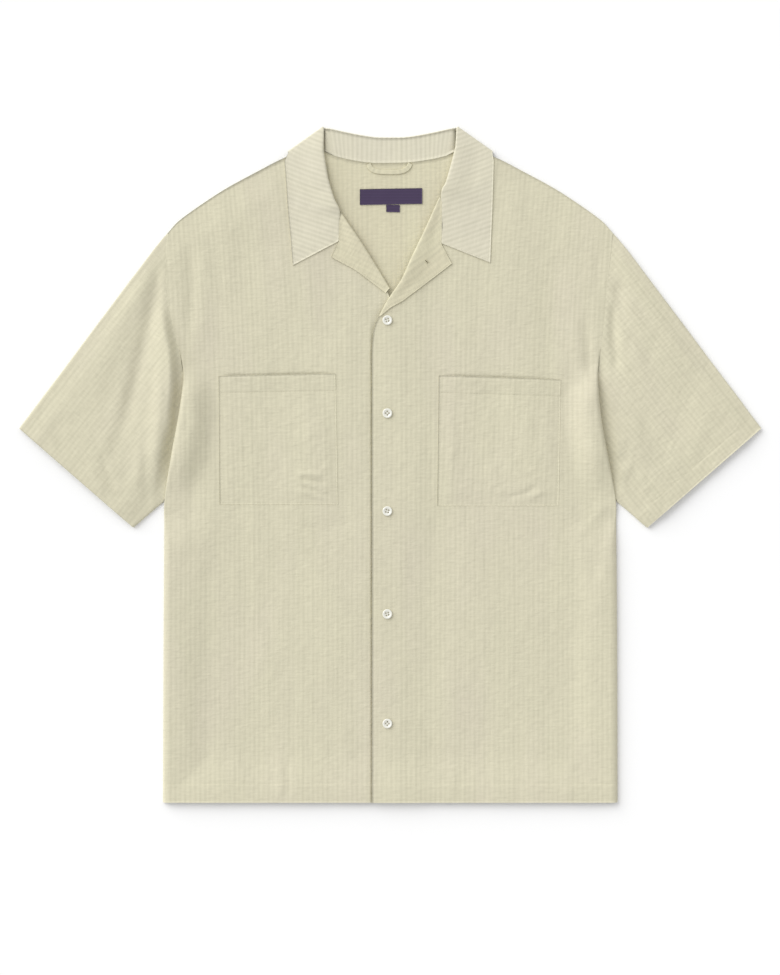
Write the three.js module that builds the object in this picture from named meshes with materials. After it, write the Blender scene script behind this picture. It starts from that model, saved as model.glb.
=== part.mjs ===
import * as THREE from "three";

// Short-sleeve camp-collar shirt laid flat on its back, in millimetres
// x runs from the centre line to the wearer's left, y from mid length to the neck, z up

// Cloth and layers
const cloth = 1.0;
const seamGap = 0.3;
const layer = cloth + seamGap;

// Wearer's right lies at -x
const sideSign = { right: -1, left: 1 };

// Body
const hemY = -393.2;
const bodyLoft = 1.5;
const loftReach = 42;
const edgeLift = 1.8;
const underLapX = 12.5;
const overLapX = -21.3;
const lapelInset = 2.6;
const neckRamp = 60;

// Edges of the body, x outward from the centre on each side, along the panel from hem to shoulder
const bodySide = [
  { along: 0.0, y: hemY, right: 264.7, left: 264.7 },
  { along: 0.2, y: -200, right: 263.8, left: 264.0 },
  { along: 0.36, y: -72, right: 262.8, left: 262.8 },
];
const bodyFold = [
  { along: 0.4, y: -40.9, right: 262.4, left: 262.2 },
  { along: 0.48, y: 18.1, right: 253.1, left: 251.3 },
  { along: 0.55, y: 64, right: 244.8, left: 243.8 },
];
const tuckedSeam = [
  { along: 0.4, y: -40.9, right: 262.4, left: 262.2 },
  { along: 0.43, y: -20, right: 250.5, left: 250.5 },
  { along: 0.48, y: 18.1, right: 240.3, left: 240.3 },
  { along: 0.55, y: 64, right: 235.6, left: 235.6 },
];
const armholeSeam = [
  { along: 0.61, y: 106, right: 240.5, left: 241.5 },
  { along: 0.7, y: 150, right: 249.7, left: 246.5 },
  { along: 0.82, y: 205, right: 260.5, left: 251.6 },
  { along: 0.92, y: 245, right: 260.3, left: 256.0 },
  { along: 1.0, y: 269.7, right: 258.6, left: 258.6 },
];
const frontSide = [...bodySide, ...bodyFold, ...armholeSeam];
const backSide = [...bodySide, ...tuckedSeam, ...armholeSeam];
const armhole = [...tuckedSeam, ...armholeSeam];
const foldTopY = armholeSeam[0].y;
const underarmY = tuckedSeam[0].y;

// Shoulder line from the sleeve to the neck
const shoulder = [
  { share: 0.0, x: 258.6, y: 269.7 },
  { share: 0.054, x: 249.6, y: 280.2 },
  { share: 0.102, x: 241.4, y: 287.2 },
  { share: 0.217, x: 221.6, y: 301.4 },
  { share: 0.393, x: 191.4, y: 321.0 },
  { share: 0.63, x: 150.6, y: 343.1 },
  { share: 0.786, x: 123.8, y: 356.6 },
  { share: 1.0, x: 88.5, y: 369.8 },
];

// Neck and centre edges of the two fronts, x outward from the centre on the panel's own side
const underEdge = [
  { along: 0.0, x: -underLapX, y: hemY },
  { along: 0.4, x: -underLapX, y: -60 },
  { along: 0.61, x: -underLapX, y: 100 },
  { along: 0.66, x: 2.5 - underLapX, y: 135 },
  { along: 0.7, x: -5.0, y: 166 },
  { along: 0.718, x: -1.5, y: 184 },
  { along: 0.735, x: 0.5 + lapelInset, y: 201 },
  { along: 0.8, x: 33.1 + lapelInset, y: 258 },
  { along: 0.86, x: 61.9 + lapelInset, y: 296.5 },
  { along: 0.9, x: 75.5, y: 313.0 },
  { along: 0.95, x: 85.0, y: 336 },
  { along: 1.0, x: 88.5, y: 369.8 },
];
const overEdge = [
  { along: 0.0, x: overLapX, y: hemY },
  { along: 0.4, x: overLapX, y: -60 },
  { along: 0.61, x: overLapX, y: 100 },
  { along: 0.65, x: overLapX + 0.3, y: 138 },
  { along: 0.69, x: -16.5, y: 164 },
  { along: 0.73, x: -3.0 + lapelInset, y: 190.5 },
  { along: 0.78, x: 13.3 + lapelInset, y: 216 },
  { along: 0.84, x: 38.6 + lapelInset, y: 270.3 },
  { along: 0.9, x: 62.1 + lapelInset, y: 317 },
  { along: 0.95, x: 81.6, y: 341 },
  { along: 1.0, x: 88.5, y: 369.8 },
];

// Seam between the back panel and the collar stand, from one shoulder to the other
const backNeck = [
  { x: -88.5, y: 369.8 },
  { x: -64.8, y: 359.4 },
  { x: -28.3, y: 351.9 },
  { x: 0, y: 351.2 },
  { x: 28.3, y: 352.6 },
  { x: 64.8, y: 359.4 },
  { x: 88.5, y: 369.8 },
];

// Sleeve, laid flat
const sleeveTop = [
  { share: 0.0, x: 259.2, y: 269.2 },
  { share: 0.05, x: 268.0, y: 259.2 },
  { share: 0.16, x: 295.0, y: 224.3 },
  { share: 0.6, x: 371.9, y: 121.9 },
  { share: 1.0, x: 431.9, y: 41.9 },
];
const sleeveUnder = [
  { share: 0.0, x: 264.0, y: -43.6 },
  { share: 1.0, x: 300.9, y: -74.0 },
];
const sleeveLoft = 1.3;

// Largest folds: a path of three points, its half width and its height, on one panel's own side
const folds = [
  { on: "front_right", x1: 237, y1: 262, x2: 231, y2: 203, x3: 240, y3: 124, width: 7, height: -1.3 },
  { on: "front_right", x1: 221, y1: 262, x2: 217, y2: 200, x3: 224, y3: 128, width: 9, height: 1.0 },
  { on: "front_right", x1: 172, y1: 285, x2: 169, y2: 235, x3: 174, y3: 172, width: 16, height: -0.8 },
  { on: "front_right", x1: 224, y1: 40, x2: 232, y2: -20, x3: 240, y3: -84, width: 9, height: -1.0 },
  { on: "front_left", x1: 226, y1: 182, x2: 231, y2: 130, x3: 237, y3: 98, width: 6, height: -1.3 },
  { on: "front_left", x1: 215, y1: 178, x2: 219, y2: 126, x3: 224, y3: 90, width: 8, height: 0.9 },
  { on: "front_left", x1: 193, y1: 262, x2: 190, y2: 180, x3: 194, y3: 108, width: 15, height: -0.8 },
  { on: "sleeve_right", x1: 266, y1: 230, x2: 283, y2: 150, x3: 322, y3: 0, width: 8, height: -1.3 },
  { on: "sleeve_right", x1: 272, y1: 196, x2: 270, y2: 150, x3: 276, y3: 96, width: 6, height: 1.2 },
  { on: "sleeve_left", x1: 262, y1: 196, x2: 262, y2: 150, x3: 270, y3: 104, width: 6, height: -1.2 },
  { on: "sleeve_left", x1: 262, y1: 220, x2: 273, y2: 176, x3: 290, y3: 126, width: 7, height: -1.2 },
];

// Collar stations from the leaf's front edge, over the shoulder fold, to the centre back
// Seam is where the stand is sewn on, roll its top edge and outer the edge of the fall
const collarFront = {
  right: [
    { seamX: 60.3, seamY: 259.6, rollX: 60.3, rollY: 259.6, outerX: 113.3, outerY: 231.7 },
    { seamX: 59.8, seamY: 281, rollX: 59.8, rollY: 281, outerX: 115.6, outerY: 262 },
    { seamX: 61.4, seamY: 296.3, rollX: 59.2, rollY: 296.8, outerX: 118.2, outerY: 288 },
    { seamX: 73.4, seamY: 313.5, rollX: 64.8, rollY: 309.5, outerX: 119.8, outerY: 309 },
    { seamX: 82.9, seamY: 336.3, rollX: 72.2, rollY: 334, outerX: 121.4, outerY: 334 },
    { seamX: 86.0, seamY: 356, rollX: 77.4, rollY: 366, outerX: 123.0, outerY: 353.5 },
  ],
  left: [
    { seamX: 59.9, seamY: 257.0, rollX: 59.9, rollY: 257.0, outerX: 116.2, outerY: 234.7 },
    { seamX: 59.8, seamY: 290, rollX: 59.8, rollY: 290, outerX: 117.8, outerY: 272 },
    { seamX: 61.6, seamY: 316.8, rollX: 59.7, rollY: 317.5, outerX: 119.0, outerY: 303 },
    { seamX: 70.5, seamY: 329.5, rollX: 64.2, rollY: 328, outerX: 119.4, outerY: 318 },
    { seamX: 78.4, seamY: 341.2, rollX: 70.0, rollY: 347.5, outerX: 119.9, outerY: 335 },
    { seamX: 85.0, seamY: 357, rollX: 75.6, rollY: 369.5, outerX: 120.4, outerY: 354 },
  ],
};
const collarFold = { seamX: 86.4, seamY: 370.0, rollX: 79.7, rollY: 392.6, outerX: 119.6, outerY: 364.5 };
const collarBack = [
  { seamX: 64.8, seamY: 359.8, rollX: 69.9, rollY: 391.2 },
  { seamX: 43.4, seamY: 354.9, rollX: 43.4, rollY: 385.4 },
  { seamX: 19.0, seamY: 352.2, rollX: 18.5, rollY: 381.4 },
  { seamX: 0.0, seamY: 351.6, rollX: 0.0, rollY: 380.9 },
];
const leafPuff = 1.3;
const foldShares = [0.12, 0.3, 0.5, 0.7, 0.88];
const foldStandInset = 0.5;
const fallSpread = 1.45;

// Lapels: the roll line and the free edge beyond it, from the foot of the lapel to the collar
const lapels = {
  right: [
    { rollX: 0.5, rollY: 205, outerX: 5.5, outerY: 199.5 },
    { rollX: 10, rollY: 221, outerX: 20, outerY: 210.6 },
    { rollX: 22, rollY: 240.5, outerX: 42, outerY: 227.0 },
    { rollX: 33.1, rollY: 258, outerX: 68.4, outerY: 241.0 },
    { rollX: 45, rollY: 275.5, outerX: 59.8, outerY: 259.4 },
    { rollX: 56.6, rollY: 292.5, outerX: 59.3, outerY: 284 },
  ],
  left: [
    { rollX: -13, rollY: 173, outerX: -9.0, outerY: 174.5 },
    { rollX: -5, rollY: 188, outerX: 0, outerY: 182.2 },
    { rollX: 2, rollY: 199, outerX: 14.9, outerY: 190.5 },
    { rollX: 13.3, rollY: 216, outerX: 40, outerY: 209.5 },
    { rollX: 23.5, rollY: 238.7, outerX: 71.5, outerY: 233.6 },
    { rollX: 38.6, rollY: 270.3, outerX: 59.4, outerY: 256.6 },
    { rollX: 51, rollY: 297.5, outerX: 59.3, outerY: 284 },
    { rollX: 57, rollY: 311, outerX: 59.2, outerY: 305 },
  ],
};
const lapelPuff = 1.2;
const lapelRise = 0.15;
const rollWay = { x: 0.86, y: 0.5 };

// Patch pockets: x and y of each corner, x outward from the centre
const pockets = {
  right: { topIn: [63.8, 105.6], topOut: [199.5, 102.8], footIn: [61.0, -46.6], footOut: [198.5, -46.6] },
  left: { topIn: [56.6, 103.4], topOut: [198.2, 98.6], footIn: [54.6, -48.0], footOut: [195.8, -48.0] },
};

// Neck label, size tab and hanger loop, on the inside of the back
const labelSize = { x: 0.9, y: 311.9, wide: 72.6, high: 18.2 };
const tabSize = { x: 3.2, y: 298.0, wide: 15.8, high: 8.4 };
const loopPath = [
  { x: -25.2, y: 349.5 },
  { x: -22.2, y: 344.2 },
  { x: -14.2, y: 340.9 },
  { x: 0, y: 340.2 },
  { x: 12.5, y: 340.9 },
  { x: 19.8, y: 344.4 },
  { x: 23.6, y: 349.5 },
];
const loopWide = 5.6;

// Buttons, 18 ligne with four holes
const buttonX = -3.4;
const buttonYs = [167.8, 59.6, -54.2, -173.9, -301.2];
const button = { radius: 5.7, depth: 1.6, bevel: 0.3, holeRadius: 1.0, holeSpacing: 1.15 };

// Colours
const clothMaterial = new THREE.MeshStandardMaterial({ color: "#d6d1ba", roughness: 0.9, metalness: 0 });
const labelMaterial = new THREE.MeshStandardMaterial({ color: "#48305f", roughness: 0.6, metalness: 0 });
const shellMaterial = new THREE.MeshStandardMaterial({ color: "#f3f1e8", roughness: 0.25, metalness: 0 });

const { lerp, clamp, smoothstep } = THREE.MathUtils;
const steps = (count) => Array.from({ length: count + 1 }, (_, i) => i / count);

// Smooth reading of a table's column, keyed by another column
function read(rows, key, value, column) {
  const last = rows.length - 1;
  const way = Math.sign(rows[last][key] - rows[0][key]);
  let i = 0;
  while (i < last - 1 && (value - rows[i + 1][key]) * way > 0) i += 1;
  const slope = (k) => {
    const before = rows[Math.max(k - 1, 0)];
    const after = rows[Math.min(k + 1, last)];
    return (after[column] - before[column]) / (after[key] - before[key]);
  };
  const span = rows[i + 1][key] - rows[i][key];
  const t = clamp((value - rows[i][key]) / span, 0, 1);
  const ease = t * t * (3 - 2 * t);
  const pull = t * (1 - t) * (1 - t) * slope(i) - t * t * (1 - t) * slope(i + 1);
  return lerp(rows[i][column], rows[i + 1][column], ease) + span * pull;
}

const sideX = (rows, side, y) => read(rows, "y", y, side);

// Outer edge of the collar's fall, under the back neck
const fallEdgeY = (x) => 331.5 + 31.5 * (x / 120) ** 2;

// Height that one fold adds at a point
function foldHeight(fold, x, y) {
  const path = [];
  for (const t of steps(8)) {
    const at = (a, b, c) => lerp(lerp(a, b, t), lerp(b, c, t), t);
    const byX = 2 * fold.x2 - (fold.x1 + fold.x3) / 2;
    const byY = 2 * fold.y2 - (fold.y1 + fold.y3) / 2;
    path.push({ t, x: at(fold.x1, byX, fold.x3), y: at(fold.y1, byY, fold.y3) });
  }
  let near = { distance: Infinity, t: 0 };
  for (let i = 0; i < path.length - 1; i += 1) {
    const dx = path[i + 1].x - path[i].x;
    const dy = path[i + 1].y - path[i].y;
    const share = clamp(((x - path[i].x) * dx + (y - path[i].y) * dy) / (dx * dx + dy * dy), 0, 1);
    const distance = Math.hypot(x - path[i].x - share * dx, y - path[i].y - share * dy);
    if (distance < near.distance) near = { distance, t: lerp(path[i].t, path[i + 1].t, share) };
  }
  const taper = smoothstep(near.t, 0, 0.25) * smoothstep(1 - near.t, 0, 0.25);
  return fold.height * taper * Math.exp(-((near.distance / fold.width) ** 2));
}

const foldsOn = (name, x, y) =>
  folds.filter((fold) => fold.on === name).reduce((sum, fold) => sum + foldHeight(fold, x, y), 0);

// Undersides of the panels above the surface that the shirt lies on; x is outward from the centre
const backLow = (x, y) => layer * smoothstep(y, fallEdgeY(x) - neckRamp, fallEdgeY(x) - 4);

// Where a front climbs onto the folded sleeve, x in from the armhole, y from the underarm and the fold's top
const tuck = { reach: 16, level: 3, lowFrom: 26, lowTo: 2, highFrom: 2, highTo: 34 };
const lift = { rise: 60, fallFrom: 30, fallTo: 12 };
const lapStep = { from: 1, to: 6 };
const sleeveClear = { under: 17, below: 4, above: 30, reach: 20 };

function frontLow(side, x, y) {
  const fromSide = sideX(frontSide, side, y) - x;
  const fromShoulder = read(shoulder, "x", clamp(x, shoulder.at(-1).x, shoulder[0].x), "y") - y;
  const inside = smoothstep(fromSide, 0, loftReach) * smoothstep(y - hemY, 0, loftReach)
    * smoothstep(fromShoulder, 0, loftReach);
  const relief = inside * bodyLoft + smoothstep(fromSide, 2, 14) * foldsOn(`front_${side}`, x, y);
  const tuckX = sideX(armhole, side, y);
  const nearTuck = smoothstep(x, tuckX - tuck.reach, tuckX - tuck.level);
  const besideSleeve = smoothstep(y, underarmY - tuck.lowFrom, underarmY - tuck.lowTo)
    * (1 - smoothstep(y, foldTopY + tuck.highFrom, foldTopY + tuck.highTo));
  const lifted = smoothstep(y, underarmY, underarmY + lift.rise)
    * (1 - smoothstep(y, foldTopY - lift.fallFrom, foldTopY + lift.fallTo));
  const overlap = side === "left"
    ? layer * (1 - smoothstep(x, underLapX + lapStep.from, underLapX + lapStep.to))
    : 0;
  return layer + backLow(x, y) + Math.max(relief, 0) + overlap
    + nearTuck * (layer * besideSleeve + edgeLift * lifted);
}

function sleeveLow(side, x, y, u) {
  const { under, below, above, reach } = sleeveClear;
  const underBody = under * (1 - smoothstep(y, foldTopY - below, foldTopY + above));
  const clear = smoothstep(x - sideX(armhole, side, y), underBody, underBody + reach);
  const inside = smoothstep(Math.min(u, 1 - u), 0, 0.2);
  return layer + Math.max(clear * inside * (sleeveLoft + foldsOn(`sleeve_${side}`, x, y)), 0);
}

// Points of a four-sided panel, in rows from foot to top and columns from outer to inner edge
function patch({ outer, inner, foot, top }, ups, acrosses) {
  const at = (axis, up, across) =>
    lerp(outer(up)[axis], inner(up)[axis], across) + lerp(foot(across)[axis], top(across)[axis], up)
    - lerp(lerp(outer(0)[axis], inner(0)[axis], across), lerp(outer(1)[axis], inner(1)[axis], across), up);
  return ups.map((up) => acrosses.map((across) => ({ x: at("x", up, across), y: at("y", up, across) })));
}

// Closed wall between two grids of points; a ring's rows close on themselves
function closeGrids(upper, lower, ring = false) {
  const rows = upper.length;
  const columns = upper[0].length;
  const points = [...upper.flat(), ...lower.flat()];
  const top = (i, j) => i * columns + (j % columns);
  const bottom = (i, j) => rows * columns + top(i, j);
  const faces = [];
  const quad = (a, b, c, d) => faces.push([a, b, c], [a, c, d]);
  for (let i = 0; i < rows - 1; i += 1) {
    for (let j = 0; j < (ring ? columns : columns - 1); j += 1) {
      quad(top(i, j), top(i, j + 1), top(i + 1, j + 1), top(i + 1, j));
      quad(bottom(i, j + 1), bottom(i, j), bottom(i + 1, j), bottom(i + 1, j + 1));
    }
    if (!ring) {
      quad(bottom(i + 1, 0), bottom(i, 0), top(i, 0), top(i + 1, 0));
      quad(bottom(i, columns - 1), bottom(i + 1, columns - 1), top(i + 1, columns - 1), top(i, columns - 1));
    }
  }
  for (let j = 0; j < (ring ? columns : columns - 1); j += 1) {
    quad(bottom(0, j), bottom(0, j + 1), top(0, j + 1), top(0, j));
    quad(bottom(rows - 1, j + 1), bottom(rows - 1, j), top(rows - 1, j), top(rows - 1, j + 1));
  }
  const volume = faces.reduce((sum, [a, b, c]) =>
    sum + points[a].dot(new THREE.Vector3().crossVectors(points[b], points[c])), 0);
  const turned = volume < 0 ? faces.map(([a, b, c]) => [a, c, b]) : faces;
  const geometry = new THREE.BufferGeometry().setFromPoints(points);
  geometry.setIndex(turned.flat());
  geometry.computeVertexNormals();
  return geometry;
}

// Wall of even height over a grid of plan points
function slab(side, plan, low) {
  const lift = (rise) => plan.map((row) => row.map(({ x, y }) =>
    new THREE.Vector3(sideSign[side] * x, y, low(x, y) + rise)));
  return closeGrids(lift(cloth), lift(0));
}

// Wall round a grid of middle points, half its thickness to each side
function wall(middle, ring = false) {
  const last = middle.length - 1;
  const wide = middle[0].length;
  const normals = middle.map((row, i) => row.map((_, j) => {
    const up = middle[Math.min(i + 1, last)][j].clone().sub(middle[Math.max(i - 1, 0)][j]);
    const next = ring ? row[(j + 1) % wide] : row[Math.min(j + 1, wide - 1)];
    const before = ring ? row[(j + wide - 1) % wide] : row[Math.max(j - 1, 0)];
    return next.clone().sub(before).cross(up).normalize();
  }));
  const moved = (by) => (p, i, j) => p.clone().addScaledVector(normals[i][j], by);
  const offset = (by) => middle.map((row, i) => row.map((p, j) => moved(by)(p, i, j)));
  return closeGrids(offset(cloth / 2), offset(-cloth / 2), ring);
}

// Fronts: crowded columns at the side, where the folds are, and at the step over the under lap
const stepShares = { right: [0.87, 0.94, 1], left: [0.861, 0.881, 0.94, 1] };

function front(side, innerEdge) {
  const edges = {
    outer: (up) => ({ x: read(frontSide, "along", up, side), y: read(frontSide, "along", up, "y") }),
    inner: (up) => ({ x: read(innerEdge, "along", up, "x"), y: read(innerEdge, "along", up, "y") }),
    foot: (across) => ({ x: lerp(frontSide[0][side], innerEdge[0].x, across), y: hemY }),
    top: (across) => ({ x: read(shoulder, "share", across, "x"), y: read(shoulder, "share", across, "y") }),
  };
  const below = [0, 0.05, 0.1, 0.16, 0.22, 0.28, 0.34, 0.38, 0.4, 0.42, 0.45, 0.48, 0.515, 0.55, 0.58];
  const chest = [0.61, 0.63, 0.65, 0.67, 0.69, 0.71, 0.735, 0.76, 0.78, 0.8, 0.83, 0.86, 0.88, 0.9, 0.925];
  const ups = [...below, ...chest, 0.95, 0.975, 1];
  const acrosses = [...steps(14).map((t) => 0.8 * t ** 1.4), ...stepShares[side]];
  return slab(side, patch(edges, ups, acrosses), (x, y) => frontLow(side, x, y));
}

// Back: one panel from side to side, its neck edge a shallow curve
function back() {
  const sideAt = (side, up) => ({
    x: sideSign[side] * read(backSide, "along", up, side),
    y: read(backSide, "along", up, "y"),
  });
  const tip = shoulder[0].x;
  const topAt = (across) => {
    const x = lerp(-tip, tip, across);
    const inNeck = Math.abs(x) < backNeck.at(-1).x;
    return { x, y: inNeck ? read(backNeck, "x", x, "y") : read(shoulder, "x", Math.abs(x), "y") };
  };
  const edges = {
    outer: (up) => sideAt("right", up),
    inner: (up) => sideAt("left", up),
    foot: (across) => ({ x: lerp(-bodySide[0].right, bodySide[0].left, across), y: hemY }),
    top: topAt,
  };
  const ups = [0, 0.12, 0.25, 0.36, 0.4, 0.43, 0.48, 0.55, 0.61, 0.7, 0.77, 0.82, 0.86, 0.9, 0.93, 0.965, 1];
  const neckShare = (tip - backNeck.at(-1).x) / (2 * tip);
  const half = [0, 0.018, 0.04, 0.08, 0.13, 0.19, 0.26, neckShare, 0.36, 0.4, 0.45];
  const acrosses = [...half, 0.5, ...half.map((t) => 1 - t).reverse()];
  return slab("left", patch(edges, ups, acrosses), (x, y) => backLow(x, y));
}

// Sleeve: rings round a flattened tube, from the armhole to the hem
function sleeve(side) {
  const foldRadius = layer / 2;
  const inset = foldRadius + cloth / 2;
  const inward = { x: 0.8 * inset, y: 0.6 * inset };
  const edges = {
    outer: (v) => ({
      x: read(sleeveTop, "share", v, "x") - inward.x,
      y: read(sleeveTop, "share", v, "y") - inward.y,
    }),
    inner: (v) => ({
      x: lerp(sleeveUnder[0].x, sleeveUnder[1].x, v),
      y: lerp(sleeveUnder[0].y, sleeveUnder[1].y, v) + inset,
    }),
    foot: (u) => {
      const along = lerp(1, armhole[0].along, u);
      const clearOfFront = seamGap + 0.1;
      const x = read(armhole, "along", along, side) + clearOfFront;
      const y = read(armhole, "along", along, "y");
      return { x: x + lerp(0.1, 1.2, u), y: y + lerp(-1.1, -1.5, u) };
    },
    top: (u) => ({
      x: lerp(sleeveTop.at(-1).x - inward.x, sleeveUnder[1].x, u),
      y: lerp(sleeveTop.at(-1).y - inward.y, sleeveUnder[1].y + inset, u),
    }),
  };
  edges.outer = fromCorner(edges.outer, edges.foot(0), edges.top(0));
  edges.inner = fromCorner(edges.inner, edges.foot(1), edges.top(1));
  const along = [0, 0.06, 0.13, 0.22, 0.32, 0.42, 0.54, 0.66, 0.78, 0.9, 1];
  const round = [0, 0.08, 0.17, 0.26, 0.36, 0.46, 0.56, 0.66, 0.75, 0.84, 0.92, 1];
  const plan = patch(edges, along, round);
  const rings = plan.map((row) => {
    const point = ({ x, y }, z) => new THREE.Vector3(sideSign[side] * x, y, z);
    const topWall = row.map((p, j) => point(p, sleeveLow(side, p.x, p.y, round[j]) + cloth / 2));
    const lowWall = row.map((p) => point(p, cloth / 2));
    return [...topWall, ...turn(topWall.at(-1), lowWall.at(-1), topWall.at(-2), 2),
      ...lowWall.reverse(), ...turn(lowWall.at(-1), topWall[0], topWall[1], 2)];
  });
  return wall(rings, true);
}

// An edge moved so that it starts and ends at two given corners
function fromCorner(edge, start, end) {
  const first = edge(0);
  const last = edge(1);
  return (t) => {
    const p = edge(t);
    return {
      x: p.x + lerp(start.x - first.x, end.x - last.x, t),
      y: p.y + lerp(start.y - first.y, end.y - last.y, t),
    };
  };
}

// Points on the half circle from one layer to the next, bulging away from the inside point
function turn(from, to, inside, count) {
  const out = new THREE.Vector3(from.x - inside.x, from.y - inside.y, 0).normalize();
  return bulge(from, to, out, count);
}

function bulge(from, to, out, count) {
  const middle = from.clone().add(to).multiplyScalar(0.5);
  const arm = from.clone().sub(middle);
  return steps(count + 1).slice(1, -1).map((t) => middle.clone()
    .addScaledVector(arm, Math.cos(Math.PI * t))
    .addScaledVector(out, arm.length() * Math.sin(Math.PI * t)));
}

// One section of the collar or a lapel: the stand, the roll and the fall
function rollSection({ seam, standEnd, fallStart, outer, out }, counts) {
  const line = (a, b, count) => steps(count).map((t) => a.clone().lerp(b, t));
  return [...line(seam, standEnd, counts.stand), ...bulge(standEnd, fallStart, out, counts.roll),
    ...line(fallStart, outer, counts.fall)];
}

// Places a section's fall on the front below it, a little higher at the roll
function settle(section, start, height, puff) {
  section.slice(start).forEach((p, k, fall) => {
    const share = k / (fall.length - 1);
    p.z = height(Math.abs(p.x), p.y) + puff * (1 - smoothstep(share, 0, 0.55));
  });
}

const collarCounts = { stand: 2, roll: 3, fall: 6 };

// Front half of the collar on one side, from the leaf's front edge to the shoulder
function leafSections(side) {
  const sign = sideSign[side];
  const onFront = (x, y) => frontLow(side, x, y) + cloth + seamGap + cloth / 2;
  const rows = collarFront[side].map((row, k) => ({ ...row, at: k }));
  const stations = [0, 1, 1.5, 2, 2.3, 3, 3.5, 4, 4.5, 5];
  return stations.map((at) => {
    const value = (column) => read(rows, "at", at, column);
    const point = (name, z) => new THREE.Vector3(sign * value(`${name}X`), value(`${name}Y`), z);
    const rolled = smoothstep(at, 1.6, 2.3);
    const outer = point("outer", 0);
    const out = new THREE.Vector3(-sign, 0.25 * (at / 5), 0).normalize();
    const radius = (layer + leafPuff) / 2;
    const edge = point("roll", 0).addScaledVector(out, -(radius + cloth / 2) * rolled);
    if (rolled === 0) {
      const { stand, roll, fall } = collarCounts;
      const flat = steps(stand + roll + fall + 1).map((t) => edge.clone().lerp(outer, t));
      settle(flat, 0, onFront, 0);
      return flat;
    }
    const seam = point("seam", frontLow(side, value("seamX"), value("seamY")) + cloth / 2);
    const standEnd = edge.clone().setZ(frontLow(side, Math.abs(edge.x), edge.y) + cloth / 2);
    const fallStart = edge.clone().setZ(onFront(Math.abs(edge.x), edge.y) + leafPuff);
    const section = rollSection({ seam, standEnd, fallStart, outer, out }, collarCounts);
    settle(section, collarCounts.stand + collarCounts.roll + 1, onFront, leafPuff);
    return section;
  });
}

// Shoulder fold of the collar, where stand and fall turn from the front to the back
function foldSections(side) {
  const sign = sideSign[side];
  const point = (name, z) => new THREE.Vector3(sign * collarFold[`${name}X`], collarFold[`${name}Y`], z);
  const half = { stand: layer / 2, fall: 1.5 * layer };
  const middleZ = 1.5 * layer + cloth / 2;
  const sideways = new THREE.Vector3(sign, 0, 0);
  const rise = point("roll", 0).sub(point("outer", 0));
  const upward = new THREE.Vector3(sign * rise.y, Math.abs(rise.x), 0).normalize();
  return foldShares.map((share) => {
    const across = Math.sin(Math.PI * share);
    const z = (name) => middleZ + half[name] * Math.cos(Math.PI * share);
    const stand = (name) => point(name, z("stand")).addScaledVector(sideways, half.stand * (across - 1));
    const fall = (name) => point(name, z("fall"))
      .addScaledVector(upward, half.fall * (across - 1) - cloth / 2);
    const standEnd = fall("roll").setZ(z("stand"))
      .addScaledVector(sideways, half.stand * (across - 1) - foldStandInset);
    return rollSection({
      seam: stand("seam"),
      standEnd: standEnd.addScaledVector(upward, -half.fall * across),
      fallStart: fall("roll"),
      outer: fall("outer"),
      out: new THREE.Vector3(-sign * 0.35 * (1 - share), 1, 0).normalize(),
    }, collarCounts);
  });
}

// Back half of the collar on one side, from the shoulder to the centre
function backSections(side) {
  const rows = collarBack.map((row, k) => ({ ...row, at: k }));
  const last = rows.length - 1;
  return [0, 0.5, 1, 1.5, 2, 2.5, last].map((at) => {
    const value = (column) => read(rows, "at", at, column);
    const rollY = value("rollY") - layer / 2 - cloth / 2;
    const outerX = value("rollX") * lerp(fallSpread, 1, at / last);
    const place = (x, y, z) => new THREE.Vector3(sideSign[side] * x, y, z);
    return rollSection({
      seam: place(value("seamX"), value("seamY") + seamGap, layer + cloth / 2),
      standEnd: place(value("rollX"), rollY, layer + cloth / 2),
      fallStart: place(value("rollX"), rollY, cloth / 2),
      outer: place(outerX, fallEdgeY(outerX), cloth / 2),
      out: new THREE.Vector3(0, 1, 0),
    }, collarCounts);
  });
}

function collar() {
  const half = (side) => [...leafSections(side), ...foldSections(side), ...backSections(side)];
  return wall([...half("right"), ...half("left").reverse().slice(1)]);
}

// Lapel: the facing's folded-back part, rolled over the edge of its front
function lapel(side) {
  const sign = sideSign[side];
  const rows = lapels[side].map((row, k) => ({ ...row, at: k }));
  const counts = { stand: 1, roll: 3, fall: 5 };
  const stations = steps(2 * (rows.length - 1)).map((t) => t * (rows.length - 1));
  return wall(stations.map((at) => {
    const k = Math.min(Math.floor(at), rows.length - 2);
    const value = (column) => lerp(rows[k][column], rows[k + 1][column], at - k);
    const roll = new THREE.Vector3(sign * read(rows, "at", at, "rollX"), read(rows, "at", at, "rollY"), 0);
    const outer = new THREE.Vector3(sign * value("outerX"), value("outerY"), 0);
    const width = roll.distanceTo(outer);
    const puff = lapelPuff * smoothstep(width, 4, 30);
    const radius = (layer + puff) / 2;
    const out = new THREE.Vector3(-sign * rollWay.x, rollWay.y, 0);
    const edge = roll.clone().addScaledVector(out, -(radius + cloth / 2));
    const height = (p) => frontLow(side, sign * p.x, p.y);
    const standEnd = edge.clone().setZ(height(edge) + cloth / 2);
    const seam = standEnd.clone().addScaledVector(out, 0.2);
    const fallStart = edge.clone().setZ(height(edge) + layer + cloth / 2 + lapelRise + puff);
    const section = [seam, ...bulge(standEnd, fallStart, out, counts.roll),
      ...steps(counts.fall).map((t) => fallStart.clone().lerp(outer, t))];
    section.slice(counts.roll + 1).forEach((p, j, fall) => {
      const share = j / (fall.length - 1);
      p.z = height(p) + layer + cloth / 2 + lapelRise + puff * (1 - smoothstep(share, 0, 0.6));
    });
    return section;
  }));
}

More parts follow.
